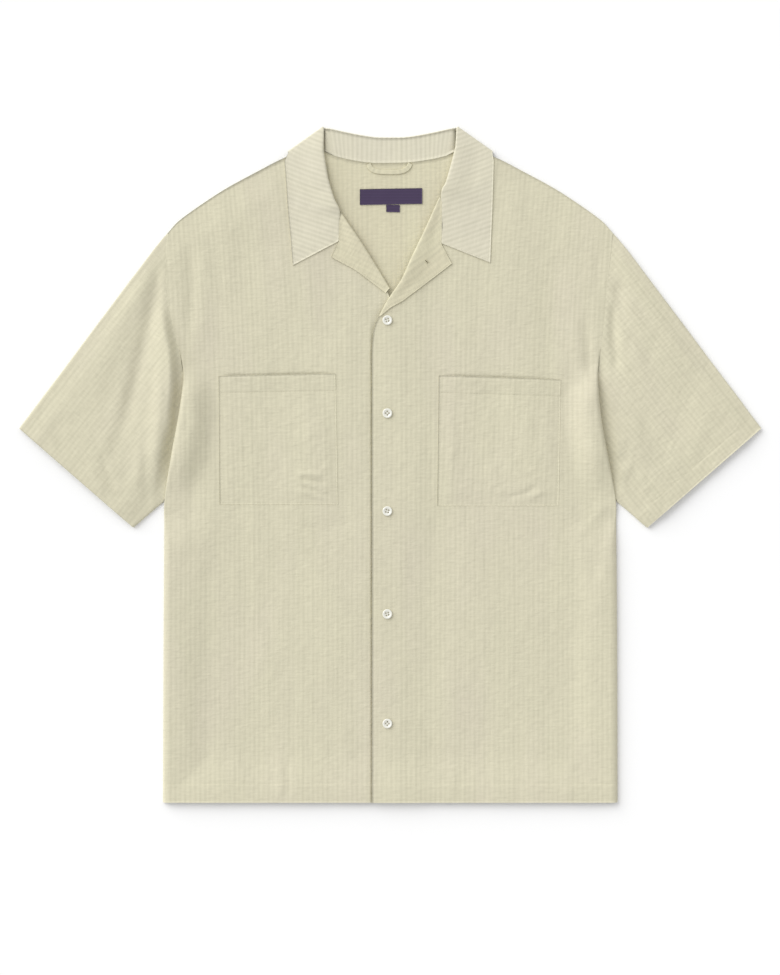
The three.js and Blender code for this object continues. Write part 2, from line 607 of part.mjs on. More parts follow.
function pocket(side) {
  const { topIn, topOut, footIn, footOut } = pockets[side];
  const between = (a, b) => (t) => ({ x: lerp(a[0], b[0], t), y: lerp(a[1], b[1], t) });
  const edges = {
    outer: between(footOut, topOut),
    inner: between(footIn, topIn),
    foot: between(footOut, footIn),
    top: between(topOut, topIn),
  };
  return slab(side, patch(edges, steps(9), steps(9)), (x, y) => frontLow(side, x, y) + layer);
}

// A small rectangle of cloth on the inside of the back
function patchOnBack({ x, y, wide, high }, columns, rows) {
  const plan = steps(rows).map((up) => steps(columns).map((across) => ({
    x: x + wide * (across - 0.5),
    y: y + high * (up - 0.5),
  })));
  return slab("left", plan, (px, py) => backLow(px, py) + layer);
}

function hangerLoop() {
  const rows = loopPath.map((row, k) => ({ ...row, at: k }));
  const last = rows.length - 1;
  const plan = steps(12).map((t) => {
    const at = t * last;
    const here = { x: read(rows, "at", at, "x"), y: read(rows, "at", at, "y") };
    const ahead = { x: read(rows, "at", at + 0.01, "x"), y: read(rows, "at", at + 0.01, "y") };
    const behind = { x: read(rows, "at", at - 0.01, "x"), y: read(rows, "at", at - 0.01, "y") };
    const way = new THREE.Vector2(ahead.x - behind.x, ahead.y - behind.y).normalize();
    return [-0.5, 0, 0.5].map((k) => ({
      x: here.x - way.y * k * loopWide,
      y: here.y + way.x * k * loopWide,
    }));
  });
  return slab("left", plan, (x, y) => backLow(x, y) + layer);
}

// Four-hole button, a disc with softened rims
function buttonGeometry() {
  const circle = (x, y, radius, count) => steps(count - 1).map((t) => {
    const angle = (2 * Math.PI * t * (count - 1)) / count;
    return new THREE.Vector2(x + radius * Math.cos(angle), y + radius * Math.sin(angle));
  });
  const disc = new THREE.Shape(circle(0, 0, button.radius - button.bevel, 24));
  for (const [dx, dy] of [[-1, -1], [1, -1], [1, 1], [-1, 1]]) {
    const hole = circle(dx * button.holeSpacing, dy * button.holeSpacing, button.holeRadius, 6);
    disc.holes.push(new THREE.Path(hole.reverse()));
  }
  const { depth, bevel } = button;
  const rounding = { bevelThickness: bevel, bevelSize: bevel, bevelSegments: 1 };
  return new THREE.ExtrudeGeometry(disc, { depth, ...rounding });
}

const shirt = new THREE.Group();
function add(name, geometry, material = clothMaterial) {
  const mesh = new THREE.Mesh(geometry, material);
  mesh.name = name;
  shirt.add(mesh);
  return mesh;
}

add("back", back());
add("front_right", front("right", underEdge));
add("front_left", front("left", overEdge));
add("sleeve_right", sleeve("right"));
add("sleeve_left", sleeve("left"));
add("collar", collar());
add("facing_right", lapel("right"));
add("facing_left", lapel("left"));
add("pocket_right", pocket("right"));
add("pocket_left", pocket("left"));
add("hanger_loop", hangerLoop());
add("label", patchOnBack(labelSize, 6, 3), labelMaterial);
add("size_tab", patchOnBack(tabSize, 2, 2), labelMaterial);
buttonYs.forEach((y, k) => {
  const mesh = add(`button_${k + 1}`, buttonGeometry(), shellMaterial);
  mesh.position.set(buttonX, y, frontLow("left", buttonX, y) + layer + button.bevel);
});

export default shirt;
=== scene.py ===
import math
import bpy
import numpy as np
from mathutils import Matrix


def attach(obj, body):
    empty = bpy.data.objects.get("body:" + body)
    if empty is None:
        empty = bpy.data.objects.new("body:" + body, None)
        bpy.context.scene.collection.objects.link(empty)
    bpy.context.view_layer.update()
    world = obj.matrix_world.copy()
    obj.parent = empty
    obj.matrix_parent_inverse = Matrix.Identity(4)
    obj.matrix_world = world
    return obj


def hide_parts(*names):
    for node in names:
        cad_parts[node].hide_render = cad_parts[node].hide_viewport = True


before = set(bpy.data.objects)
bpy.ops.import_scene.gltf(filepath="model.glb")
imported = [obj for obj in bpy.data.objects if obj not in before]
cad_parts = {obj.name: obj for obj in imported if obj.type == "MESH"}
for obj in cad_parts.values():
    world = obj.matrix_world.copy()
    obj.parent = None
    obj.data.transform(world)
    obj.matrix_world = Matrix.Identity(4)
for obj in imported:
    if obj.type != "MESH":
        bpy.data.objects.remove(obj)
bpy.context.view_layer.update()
print("frame loaded:", len(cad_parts), "nodes")

scene = bpy.context.scene


def addObject(name, data):
    made = bpy.data.objects.new(name, data)
    scene.collection.objects.link(made)
    return made


# Camera straight above the shirt, at the height of a studio boom; sizes in metres
cameraSet = {"lens": 100, "sensor": 36, "fieldHigh": 1.1359, "x": -0.0003, "y": -0.0268}


def makeCamera(s):
    data = bpy.data.cameras.new("overheadCamera")
    data.lens, data.sensor_width = s["lens"], s["sensor"]
    camera = addObject("overheadCamera", data)
    camera.location = (s["x"], s["y"], s["fieldHigh"] * s["lens"] / s["sensor"])
    scene.camera = camera


makeCamera(cameraSet)

# From here on sizes are in millimetres, turned to metres where a mesh is made
mm = 0.001
cloth = 1.0
layer = 1.3


def table(names, *rows):
    return dict(zip(names.split(), np.array(rows, float).T))


def joined(*tables):
    return {name: np.concatenate([t[name] for t in tables]) for name in tables[0]}


def mix(a, b, t):
    return a + (b - a) * t


def smooth(value, low, high):
    t = np.clip((value - low) / (high - low), 0, 1)
    return t * t * (3 - 2 * t)


def read(rows, key, value, column):  # smooth curve through one column of a table
    keys, values = rows[key], rows[column]
    if keys[0] > keys[-1]:
        keys, values = keys[::-1], values[::-1]
    slope = np.empty(len(keys))
    slope[1:-1] = (values[2:] - values[:-2]) / (keys[2:] - keys[:-2])
    slope[0] = (values[1] - values[0]) / (keys[1] - keys[0])
    slope[-1] = (values[-1] - values[-2]) / (keys[-1] - keys[-2])
    i = np.clip(np.searchsorted(keys, value) - 1, 0, len(keys) - 2)
    span = keys[i + 1] - keys[i]
    t = np.clip((value - keys[i]) / span, 0, 1)
    pull = t * (1 - t) ** 2 * slope[i] - t * t * (1 - t) * slope[i + 1]
    return mix(values[i], values[i + 1], t * t * (3 - 2 * t)) + span * pull


def ripple(x, y, wide, tall, seed):  # seeded gradient noise, about -1 to 1, stretched to wide by tall
    cells, gain = 64, 1.6
    angle = np.random.default_rng(seed).uniform(0, 2 * math.pi, (cells, cells))
    gx, gy = np.asarray(x) / wide, np.asarray(y) / tall
    i, j = np.floor(gx).astype(int), np.floor(gy).astype(int)
    total = 0
    for di in (0, 1):
        for dj in (0, 1):
            a = angle[(i + di) % cells, (j + dj) % cells]
            dx, dy = gx - i - di, gy - j - dj
            fade = [(1 - abs(d)) ** 3 * (1 + 3 * abs(d) + 6 * d * d) for d in (dx, dy)]
            total = total + (np.cos(a) * dx + np.sin(a) * dy) * fade[0] * fade[1]
    return gain * total

def bell(away, wide):
    return np.exp(-((away / wide) ** 2))


def window(value, *edges):  # rises between the first two edges and falls between the last two
    return smooth(value, *edges[:2]) * (1 - smooth(value, *edges[2:]))


def curve(rows, key, at, columns="x y"):  # a point that runs along columns of a table
    return [read(rows, key, at, column) for column in columns.split()]


# Outline of the body, x outward from the centre line on each side
hemY = -393.2
underarmY = -40.9
foldTopY = 106.0
bodySide = table(
    "along y right left",
    (0.00, hemY, 264.7, 264.7),
    (0.20, -200, 263.8, 264.0),
    (0.36, -72, 262.8, 262.8),
)
bodyFold = table(
    "along y right left",
    (0.40, underarmY, 262.4, 262.2),
    (0.48, 18.1, 253.1, 251.3),
    (0.55, 64, 244.8, 243.8),
)
tuckedSeam = table(
    "along y right left",
    (0.40, underarmY, 262.4, 262.2),
    (0.43, -20, 250.5, 250.5),
    (0.48, 18.1, 240.3, 240.3),
    (0.55, 64, 235.6, 235.6),
)
armholeSeam = table(
    "along y right left",
    (0.61, foldTopY, 240.5, 241.5),
    (0.70, 150, 249.7, 246.5),
    (0.82, 205, 260.5, 251.6),
    (0.92, 245, 260.3, 256.0),
    (1.00, 269.7, 258.6, 258.6),
)
frontSide = joined(bodySide, bodyFold, armholeSeam)
backSide = joined(bodySide, tuckedSeam, armholeSeam)
armhole = joined(tuckedSeam, armholeSeam)
shoulder = table(
    "share x y",
    (0.000, 258.6, 269.7),
    (0.054, 249.6, 280.2),
    (0.102, 241.4, 287.2),
    (0.217, 221.6, 301.4),
    (0.393, 191.4, 321.0),
    (0.630, 150.6, 343.1),
    (0.786, 123.8, 356.6),
    (1.000, 88.5, 369.8),
)
underLapX = 12.5
overLapX = -21.3
lapelInset = 2.6
underEdge = table(
    "along x y",
    (0.000, -underLapX, hemY),
    (0.400, -underLapX, -60),
    (0.610, -underLapX, 100),
    (0.660, 2.5 - underLapX, 135),
    (0.700, -5.0, 166),
    (0.718, -1.5, 184),
    (0.735, 0.5 + lapelInset, 201),
    (0.800, 33.1 + lapelInset, 258),
    (0.860, 61.9 + lapelInset, 296.5),
    (0.900, 75.5, 313.0),
    (0.950, 85.0, 336),
    (1.000, 88.5, 369.8),
)
overEdge = table(
    "along x y",
    (0.00, overLapX, hemY),
    (0.40, overLapX, -60),
    (0.61, overLapX, 100),
    (0.65, overLapX + 0.3, 138),
    (0.69, -16.5, 164),
    (0.73, -3.0 + lapelInset, 190.5),
    (0.78, 13.3 + lapelInset, 216),
    (0.84, 38.6 + lapelInset, 270.3),
    (0.90, 62.1 + lapelInset, 317),
    (0.95, 81.6, 341),
    (1.00, 88.5, 369.8),
)
backNeck = table(
    "x y",
    (-88.5, 369.8),
    (-64.8, 359.4),
    (-28.3, 351.9),
    (0, 351.2),
    (28.3, 352.6),
    (64.8, 359.4),
    (88.5, 369.8),
)

# Creases placed one by one: a path of three points, its half width and its height, on the panel's own side
creaseColumns = "x1 y1 x2 y2 x3 y3 wide high"
creases = {}
creases["front_right"] = table(
    creaseColumns,
    (237, 262, 231, 203, 240, 124, 7, -1.3),
    (221, 262, 217, 200, 224, 128, 9, 1.0),
    (172, 285, 169, 235, 174, 172, 16, -0.8),
    (224, 40, 232, -20, 240, -84, 9, -1.0),
    (228, 28, 238, -40, 240, -120, 7, 0.7),
    (205, -20, 214, -90, 222, -140, 11, 0.5),
    (248, 60, 243, 20, 250, -30, 5, 0.8),
    (150, 340, 144, 300, 150, 250, 13, 0.5),
    (118, 345, 112, 300, 104, 250, 12, -0.5),
    (60, 180, 70, 60, 62, -60, 20, 0.5),
    (36, 120, 33, -60, 38, -250, 10, 0.35),
    (90, -120, 60, -190, 64, -290, 22, 0.6),
    (190, -150, 175, -240, 186, -330, 24, -0.6),
    (226, -170, 236, -260, 228, -370, 12, 0.5),
    (130, -393, 127, -370, 131, -345, 5, 0.7),
    (122, -393, 119, -365, 124, -340, 4, -0.6),
    (40, -60, 80, -75, 150, -66, 8, -0.4),
)
creases["front_left"] = table(
    creaseColumns,
    (226, 182, 231, 130, 237, 98, 6, -1.3),
    (215, 178, 219, 126, 224, 90, 8, 0.9),
    (193, 262, 190, 180, 194, 108, 15, -0.8),
    (240, 250, 243, 215, 246, 180, 6, -0.7),
    (248, 64, 240, 30, 250, -24, 6, 0.7),
    (252, -42, 238, -62, 214, -88, 6, 0.8),
    (256, -52, 246, -92, 232, -150, 9, -0.8),
    (250, -70, 249, -130, 240, -190, 8, 0.5),
    (150, 338, 148, 290, 152, 240, 13, 0.5),
    (116, 346, 122, 300, 108, 240, 12, -0.5),
    (40, 150, 36, -20, 42, -220, 11, 0.4),
    (80, -80, 110, -150, 96, -260, 24, 0.6),
    (180, -130, 196, -230, 182, -340, 22, -0.6),
    (228, -180, 222, -280, 232, -370, 13, 0.5),
    (70, -393, 73, -368, 68, -340, 5, 0.5),
    (210, -393, 206, -366, 212, -335, 6, 0.5),
)
creases["sleeve_right"] = table(
    creaseColumns,
    (268, 236, 284, 150, 322, 0, 9, -3.0),
    (262, 204, 263, 92, 280, -36, 12, 6.6),
    (256, 156, 253.5, 92, 258, 12, 5.6, 4.4),
    (248, 124, 249, 86, 256, 44, 5.0, -2.4),
    (300, 40, 292, 6, 300, -34, 7, 0.9),
    (330, 60, 322, 30, 326, -10, 9, -0.8),
    (291, 225, 312, 165, 352, 60, 14, 1.2),
    (300, 128, 318, 60, 342, 0, 9, 0.8),
    (334, 22, 330, -8, 316, -30, 5, -0.8),
    (352, 6, 342, -16, 330, -34, 5, 0.8),
    (284, 60, 290, 20, 300, -40, 8, 0.8),
    (276, 20, 284, -16, 280, -50, 6, -0.7),
    (392, 60, 380, 20, 352, -22, 8, -0.5),
)
creases["sleeve_left"] = table(
    creaseColumns,
    (258, 194, 260, 150, 266, 100, 6, -2.4),
    (262, 220, 273, 176, 290, 126, 8, -2.2),
    (270, 206, 281, 150, 300, 90, 8, 1.4),
    (264, -18, 276, -34, 292, -50, 3.6, 1.3),
    (272, -12, 288, -34, 306, -52, 4.0, -1.2),
    (284, -2, 300, -26, 318, -44, 4.4, 1.0),
    (263, -34, 272, -45, 283, -56, 3.2, -1.2),
    (262, 30, 268, 27, 276, 30, 3.4, 1.0),
    (262, 8, 270, 6, 280, 10, 3.4, -0.9),
    (264, -8, 272, -8, 284, -2, 3.6, 0.9),
    (288, 226, 314, 168, 352, 96, 14, 0.9),
    (276, 96, 286, 40, 300, -10, 9, 1.0),
    (268, 4, 286, -16, 306, -34, 5, 1.0),
    (266, -14, 280, -34, 298, -54, 4, -0.9),
    (264, 24, 288, 6, 318, -10, 6, -0.7),
    (300, 60, 326, 20, 340, -20, 9, 0.8),
    (396, 66, 372, 30, 356, -10, 8, -0.5),
)
creases["pocket_right"] = table(
    creaseColumns,
    (106, -16, 92, -19, 72, -22, 2.4, -1.3),
    (112, -12, 94, -11, 76, -13, 2.8, 1.2),
    (104, -24, 88, -31, 66, -40, 2.4, -1.3),
    (108, -28, 92, -37, 74, -42, 2.6, 0.9),
    (82, -6, 76, -4, 68, 2, 3.0, 0.5),
    (190, -20, 176, -27, 150, -30, 3.0, -0.5),
    (88, 62, 80, 52, 70, 50, 4.0, -0.4),
)
creases["pocket_left"] = table(
    creaseColumns,
    (70, -43, 104, -45, 136, -43, 2.2, 1.0),
    (128, -44, 158, -42, 180, -28, 2.4, 1.2),
    (126, -37, 152, -35, 174, -22, 2.8, -1.2),
    (66, 60, 74, 30, 70, 0, 5.0, 0.4),
    (180, 60, 170, 40, 176, 10, 6.0, -0.4),
)


def creaseHeight(rows, x, y):  # sum of soft troughs and ridges that taper out at their ends
    total, steps, taperShare = np.zeros(np.shape(x)), 8, 0.25
    t = np.linspace(0, 1, steps + 1)
    for x1, y1, x2, y2, x3, y3, wide, high in zip(*rows.values()):
        px, py = ((1 - t) ** 2 * a + 2 * t * (1 - t) * (2 * b - (a + c) / 2) + t * t * c
                  for a, b, c in ((x1, x2, x3), (y1, y2, y3)))
        best, at = np.full(np.shape(x), 1e9), np.zeros(np.shape(x))
        for i in range(steps):
            dx, dy = px[i + 1] - px[i], py[i + 1] - py[i]
            share = np.clip(((x - px[i]) * dx + (y - py[i]) * dy) / (dx * dx + dy * dy), 0, 1)
            away = np.hypot(x - px[i] - share * dx, y - py[i] - share * dy)
            at = np.where(away < best, (i + share) / steps, at)
            best = np.minimum(best, away)
        taper = smooth(at, 0, taperShare) * smooth(1 - at, 0, taperShare)
        total = total + high * taper * bell(best, wide)
    return total


# How high the cloth stands off what is under it; a pair says where a change starts and ends
loft = {
    "body": 1.8, "bodyReach": 42, "foldLift": 9.2, "foldReach": 34, "seamReach": 12, "openEdge": 4.6,
    "opened": (4, 60), "sleeve": 4.2, "sleeveReach": 40, "wave": 0.7, "pucker": 0.2, "crinkle": 0.1,
    "centreSeed": 37, "ownWaves": (26, 64), "edge": 0.45, "lapGap": 0.4, "lapReach": (0.8, 38),
    "seamMargin": (2, 14), "sleeveEdge": 0.16, "underEdge": (1, 15), "sleeveLean": 0.76,
}
waveSizes = {
    "broad": (62, 120), "slanted": (34, 48), "pucker": (15, 24), "crinkle": (5.2, 9), "cross": (11, 5),
}
# Dip under the front edge, wider and deeper toward the lapel
edgeSlot = {"in": 0.3, "wide": (1.7, 3.6), "deep": (1.5, 1.9), "turn": (128, 168), "end": (178, 194)}
# Dip along the top of a pocket
mouthSlot = {"above": 0.5, "wide": 1.5, "deep": 0.65, "ends": (2, 22)}
# Armhole: the sleeve's edge lies just under the front's
armSeam = {"dent": 0.12, "wide": 1.6, "tuck": 0.35, "drop": 0.1}
hem = {
    "body": 21.5, "sleeve": 19, "pocket": 19.5, "step": 0.25, "turn": (-0.6, 0.9), "groove": 0.22,
    "threadWide": 0.9,
}
fallEdge = {"y": 331.5, "rise": 31.5, "at": 120}  # outer edge of the collar's fall, under the back neck
seeds = {"right": 11, "left": 23}
signs = {"right": -1, "left": 1}
pockets = {
    "right": {
        "topIn": (63.8, 105.6), "topOut": (199.5, 102.8),
        "footIn": (61.0, -46.6), "footOut": (198.5, -46.6),
    },
    "left": {
        "topIn": (56.6, 103.4), "topOut": (198.2, 98.6),
        "footIn": (54.6, -48.0), "footOut": (195.8, -48.0),
    },
}


def clothWaves(x, y, seed):  # broad waves, puckers and the crinkle of the weave
    def waves(name, more, skew=0):
        return ripple(x + skew * y, y, *waveSizes[name], seed + more)
    broad = waves("broad", 0) + 0.5 * waves("slanted", 1, 0.3)
    return (loft["wave"] * broad + loft["pucker"] * waves("pucker", 2)
            + loft["crinkle"] * (waves("crinkle", 3) + waves("cross", 4)))


def hemRelief(fromEdge, deep):  # folded hem: a low step and the dent along its stitching
    step = hem["step"] * (1 - smooth(fromEdge - deep, *hem["turn"]))
    return step - hem["groove"] * bell(fromEdge - deep, hem["threadWide"])


def softFloor(height, rounding=0.02):  # keeps a relief above nothing, without a sharp corner
    return 0.5 * (height + np.sqrt(height * height + rounding))


def fallEdgeY(x):
    return fallEdge["y"] + fallEdge["rise"] * (x / fallEdge["at"]) ** 2


def backLow(x, y):
    return layer * smooth(y, fallEdgeY(x) - 60, fallEdgeY(x) - 4)


def aboveFold(y):  # 1 where the armhole seam shows, 0 where the body lies over the sleeve
    return smooth(y, foldTopY + 4, foldTopY + 34)


def besideSleeve(y):
    return window(y, underarmY - 26, underarmY - 2, foldTopY + 2, foldTopY + 34)


def belowShoulder(x, y):
    return read(shoulder, "x", x, "y") - y


def pocketSlot(side, x, y):
    (xIn, yIn), (xOut, yOut) = pockets[side]["topIn"], pockets[side]["topOut"]
    topY = mix(yIn, yOut, (x - xIn) / (xOut - xIn)) + mouthSlot["above"]
    near, far = mouthSlot["ends"]
    ends = window(x, xIn - near, xIn + far, xOut - far, xOut + near)
    return mouthSlot["deep"] * ends * bell(y - topY, mouthSlot["wide"])


def frontLow(side, x, y):
    fromSide, fromHem, atArmhole = read(frontSide, "y", y, side) - x, y - hemY, aboveFold(y)
    besideEdge = mix(loft["edge"], 1, smooth(fromSide, 0, loft["bodyReach"]))
    aboveHem = mix(loft["edge"], 1, smooth(fromHem, -6, loft["bodyReach"]))
    besideShoulder = smooth(belowShoulder(x, y), -3, loft["bodyReach"])
    inside = mix(besideEdge, 1, atArmhole) * aboveHem * besideShoulder
    folds = smooth(fromSide, *loft["seamMargin"]) * creaseHeight(creases[f"front_{side}"], x, y)
    still = mix(1, smooth(fromSide, 0, loft["seamReach"]), atArmhole)
    shared, own = (clothWaves(signs[side] * x, y, seed) for seed in (loft["centreSeed"], seeds[side]))
    waves = mix(shared, own, smooth(x, *loft["ownWaves"]))
    sideBand = (1 - smooth(fromSide, *loft["opened"])) * (1 - smooth(y, underarmY - 60, underarmY - 12))
    openEdge = loft["openEdge"] * np.maximum(sideBand, 1 - smooth(fromHem, *loft["opened"]))
    relief = inside * (loft["body"] + still * waves) + openEdge + folds - pocketSlot(side, x, y)
    if side == "right":
        wide, deep = (mix(*edgeSlot[name], smooth(y, *edgeSlot["turn"])) for name in ("wide", "deep"))
        slotX = -read(overEdge, "y", y, "x") - edgeSlot["in"]
        relief = relief - deep * (1 - smooth(y, *edgeSlot["end"])) * bell(x - slotX, wide)
    seamDent = armSeam["dent"] * atArmhole * inside * bell(fromSide, armSeam["wide"])
    tuckX = read(armhole, "y", y, side)
    nearTuck = smooth(x, tuckX - loft["foldReach"], tuckX - 3)
    lifted = window(y, underarmY, underarmY + 60, foldTopY - 30, foldTopY + 12)
    low = layer + backLow(x, y)
    if side == "left":  # the left front lies on the right one along the middle
        near, far = (underLapX + reach for reach in loft["lapReach"])
        low = low + (layer + loft["lapGap"]) * (1 - smooth(x, near, far))
    return (low + softFloor(relief) - seamDent + hemRelief(fromHem, hem["body"])
            + nearTuck * (layer * besideSleeve(y) + loft["foldLift"] * lifted))


def frontAt(side, points):
    return frontLow(side, points[..., 0], points[..., 1])


def sleeveLow(side, x, y, u, fromHem):
    atArmhole, fromSeam = aboveFold(y), x - read(armhole, "y", y, side)
    clear = mix(smooth(x - read(frontSide, "y", y, side), *loft["underEdge"]), 1, atArmhole)
    inside = mix(loft["edge"], 1, smooth(np.minimum(u, 1 - u), 0, loft["sleeveEdge"]))
    nearSeam = atArmhole * (1 - smooth(fromSeam, 0, 30))
    inside = mix(inside, smooth(belowShoulder(x, y), -3, loft["bodyReach"]), nearSeam)
    lean = loft["sleeveLean"]  # the waves run along the sleeve
    waves = clothWaves(signs[side] * (x - lean * y), y + lean * x, seeds[side] + 40)
    still = mix(1, smooth(fromSeam, 0, loft["seamReach"]), atArmhole)
    rise = mix(loft["body"], loft["sleeve"], smooth(fromSeam, 0, loft["sleeveReach"]))
    relief = rise + still * (waves + creaseHeight(creases[f"sleeve_{side}"], x, y))
    seamDent = (armSeam["dent"] + armSeam["drop"]) * atArmhole * bell(fromSeam, armSeam["wide"])
    height = inside * (softFloor(relief) - seamDent)
    return layer + clear * height + clear * hemRelief(fromHem, hem["sleeve"])


# Mesh makers; a middle surface is an array of rows, columns and x, y, z
def toPoints(x, y, z=0.0):
    return np.stack(np.broadcast_arrays(x, y, z), -1)


def unit(v):
    return v / np.maximum(np.linalg.norm(v, axis=-1, keepdims=True), 1e-9)


def lengthAlong(points):  # running length along each row of points
    steps = np.linalg.norm(np.diff(points, axis=-2), axis=-1)
    return np.concatenate([np.zeros(steps.shape[:-1] + (1,)), np.cumsum(steps, -1)], -1)


def wallParts(middle, uv, thick=cloth, ring=False):  # points, faces, whether each is a rim, and grain
    rows, cols = middle.shape[:2]
    up = np.gradient(middle, axis=0)
    across = (np.roll(middle, -1, 1) - np.roll(middle, 1, 1)) if ring else np.gradient(middle, axis=1)
    half = unit(np.cross(across, up)) * thick / 2
    points = np.concatenate([(middle + half).reshape(-1, 3), (middle - half).reshape(-1, 3)])
    top = np.arange(rows * cols).reshape(rows, cols)
    if ring:
        top = np.concatenate([top, top[:, :1]], 1)
    low = top + rows * cols
    def quads(grid):
        return np.stack([grid[:-1, :-1], grid[:-1, 1:], grid[1:, 1:], grid[1:, :-1]], -1).reshape(-1, 4)
    def strip(a, b):
        return np.stack([a[:-1], b[:-1], b[1:], a[1:]], -1)
    sheets = np.concatenate([quads(top), quads(low)[:, ::-1]])
    rims = [strip(top[0], low[0])[:, ::-1], strip(top[-1], low[-1])]
    if not ring:
        rims += [strip(top[:, 0], low[:, 0]), strip(top[:, -1], low[:, -1])[:, ::-1]]
    faces = np.concatenate([sheets, *rims])
    corner = points[sheets[:, :3]]
    if np.einsum("ij,ij->", corner[:, 0], np.cross(corner[:, 1], corner[:, 2])) < 0:  # inside out
        faces = faces[:, ::-1]
    return points, faces, np.arange(len(faces)) >= len(sheets), np.concatenate([uv.reshape(-1, 2)] * 2)


def makePiece(name, parts, material):
    points, faces, flat, uvs = zip(*parts)
    starts = np.cumsum([0] + [len(p) for p in points])
    faces = np.concatenate([f + start for f, start in zip(faces, starts)])
    mesh = bpy.data.meshes.new(name)
    mesh.from_pydata((np.concatenate(points) * mm).tolist(), [], faces.tolist())
    mesh.polygons.foreach_set("use_smooth", ~np.concatenate(flat))
    corners = np.zeros(len(mesh.loops), int)
    mesh.loops.foreach_get("vertex_index", corners)
    grain = mesh.uv_layers.new(name="grain")
    grain.data.foreach_set("uv", (np.concatenate(uvs)[corners] * mm).ravel())
    mesh.update()
    mesh.materials.append(material)
    piece = addObject(name, mesh)
    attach(piece, "root")
    return piece


def patch(outer, inner, foot, top, ups, acrosses):  # four-sided panel filled from its edges
    up, across, ends = ups[:, None], acrosses[None, :], np.array([0.0, 1.0])
    filled = []
    for axis in (0, 1):
        o, i = (edge(ups)[axis][:, None] for edge in (outer, inner))
        f, t = (edge(acrosses)[axis][None, :] for edge in (foot, top))
        oo, ii = (edge(ends)[axis] for edge in (outer, inner))
        corners = mix(mix(oo[0], ii[0], across), mix(oo[1], ii[1], across), up)
        filled.append(mix(o, i, across) + mix(f, t, up) - corners)
    return filled


def straight(a, b):
    return lambda t: (mix(a[0], b[0], t), mix(a[1], b[1], t))


def finer(values, low, high, count):  # the same run of values, closer together from low to high
    margin = 0.4 * (values[1] - values[0])
    kept = values[(values < low - margin) | (values > high + margin)]
    return np.sort(np.concatenate([kept, np.linspace(low, high, count)]))


def bulge(start, end, out, count):  # half circle from one layer to the next; points by row
    middle, arm = (start + end) / 2, (start - end) / 2
    radius = np.linalg.norm(arm, axis=-1, keepdims=True)
    turns = np.pi * np.linspace(0, 1, count + 2)[1:-1]
    return np.stack([middle + arm * math.cos(a) + out * radius * math.sin(a) for a in turns], 1)


# Stitches, in millimetres: real ones are 0.25 thick, drawn a little stouter so that they show
stitchSet = {"pitch": 3.1, "long": 2.3, "wide": 0.44, "high": 0.26, "aim": 0.6}
threadShape = ((-0.5, 0.35), (-0.32, 1), (0.32, 1), (0.5, 0.35))  # place along a thread, and how fat


def threadParts(centre, way, s):  # one short thread at each centre, its ends dipping into the cloth
    side = unit(np.cross(way, [0, 0, 1.0]))
    up = np.cross(side, way)
    rings = []
    for share, fat in threadShape:
        middle = centre + way * share * s["long"] - up * (1 - fat) * s["high"] / 2
        rings.append(np.stack([middle + side * c * fat * s["wide"] / 2 + up * h * fat * s["high"] / 2
                               for c, h in ((1, 0), (0, 1), (-1, 0), (0, -1))], 1))
    quads = [[4 * r + k for k in (4 + j, 4 + (j + 1) % 4, (j + 1) % 4, j)]
             for r in range(3) for j in range(4)]
    quads = np.array(quads + [[0, 1, 2, 3], [15, 14, 13, 12]])
    faces = (quads[None] + 16 * np.arange(len(centre))[:, None, None]).reshape(-1, 4)
    points = np.stack(rings, 1).reshape(-1, 3)
    return points, faces, np.zeros(len(faces), bool), points[:, :2].copy()


def stitchParts(path, s=stitchSet):
    run = lengthAlong(path)
    count = int(run[-1] / s["pitch"])
    middles = (np.arange(count) + 0.5) * run[-1] / count
    def at(distance):
        return np.stack([np.interp(distance, run, path[:, k]) for k in range(3)], -1)
    return threadParts(at(middles), unit(at(middles + s["aim"]) - at(middles - s["aim"])), s)


def insideEdge(middle, inset, lift):  # points on the upper face, a set distance in from the last column
    back = middle[:, ::-1]
    run = lengthAlong(back)
    line = [[np.interp(inset, run[r], back[r, :, k]) for k in range(3)] for r in range(len(back))]
    return np.array(line) + [0, 0, lift]


def turned(middle):  # rows as columns, with the first row last
    return middle.swapaxes(0, 1)[:, ::-1]


# Cloth: cotton woven with a tonal stripe and crinkled in the finish, so it looks matt and uneven
def linear(hexColour):
    parts = [int(hexColour[i:i + 2], 16) / 255 for i in (1, 3, 5)]
    return [c / 12.92 if c <= 0.04045 else ((c + 0.055) / 1.055) ** 2.4 for c in parts] + [1.0]


def node(tree, kind, settings=None, inputs=None):  # a node as an input is linked by its first output
    made = tree.nodes.new("ShaderNode" + kind)
    for name, value in (settings or {}).items():
        setattr(made, name, value)
    for name, value in (inputs or {}).items():
        if isinstance(value, bpy.types.Node):
            value = value.outputs[0]
        if isinstance(value, bpy.types.NodeSocket):
            tree.links.new(value, made.inputs[name])
        else:
            made.inputs[name].default_value = value
    return made


def blend(tree, amount, a, b):
    return node(tree, "Mix", {"data_type": "RGBA"}, {0: amount, 6: a, 7: b}).outputs[2]


def blankMaterial(name):
    material = bpy.data.materials.new(name)
    material.use_nodes = True
    material.node_tree.nodes.clear()
    return material, material.node_tree


def addShader(tree, inputs):
    node(tree, "OutputMaterial", {}, {"Surface": node(tree, "BsdfPrincipled", {}, inputs)})


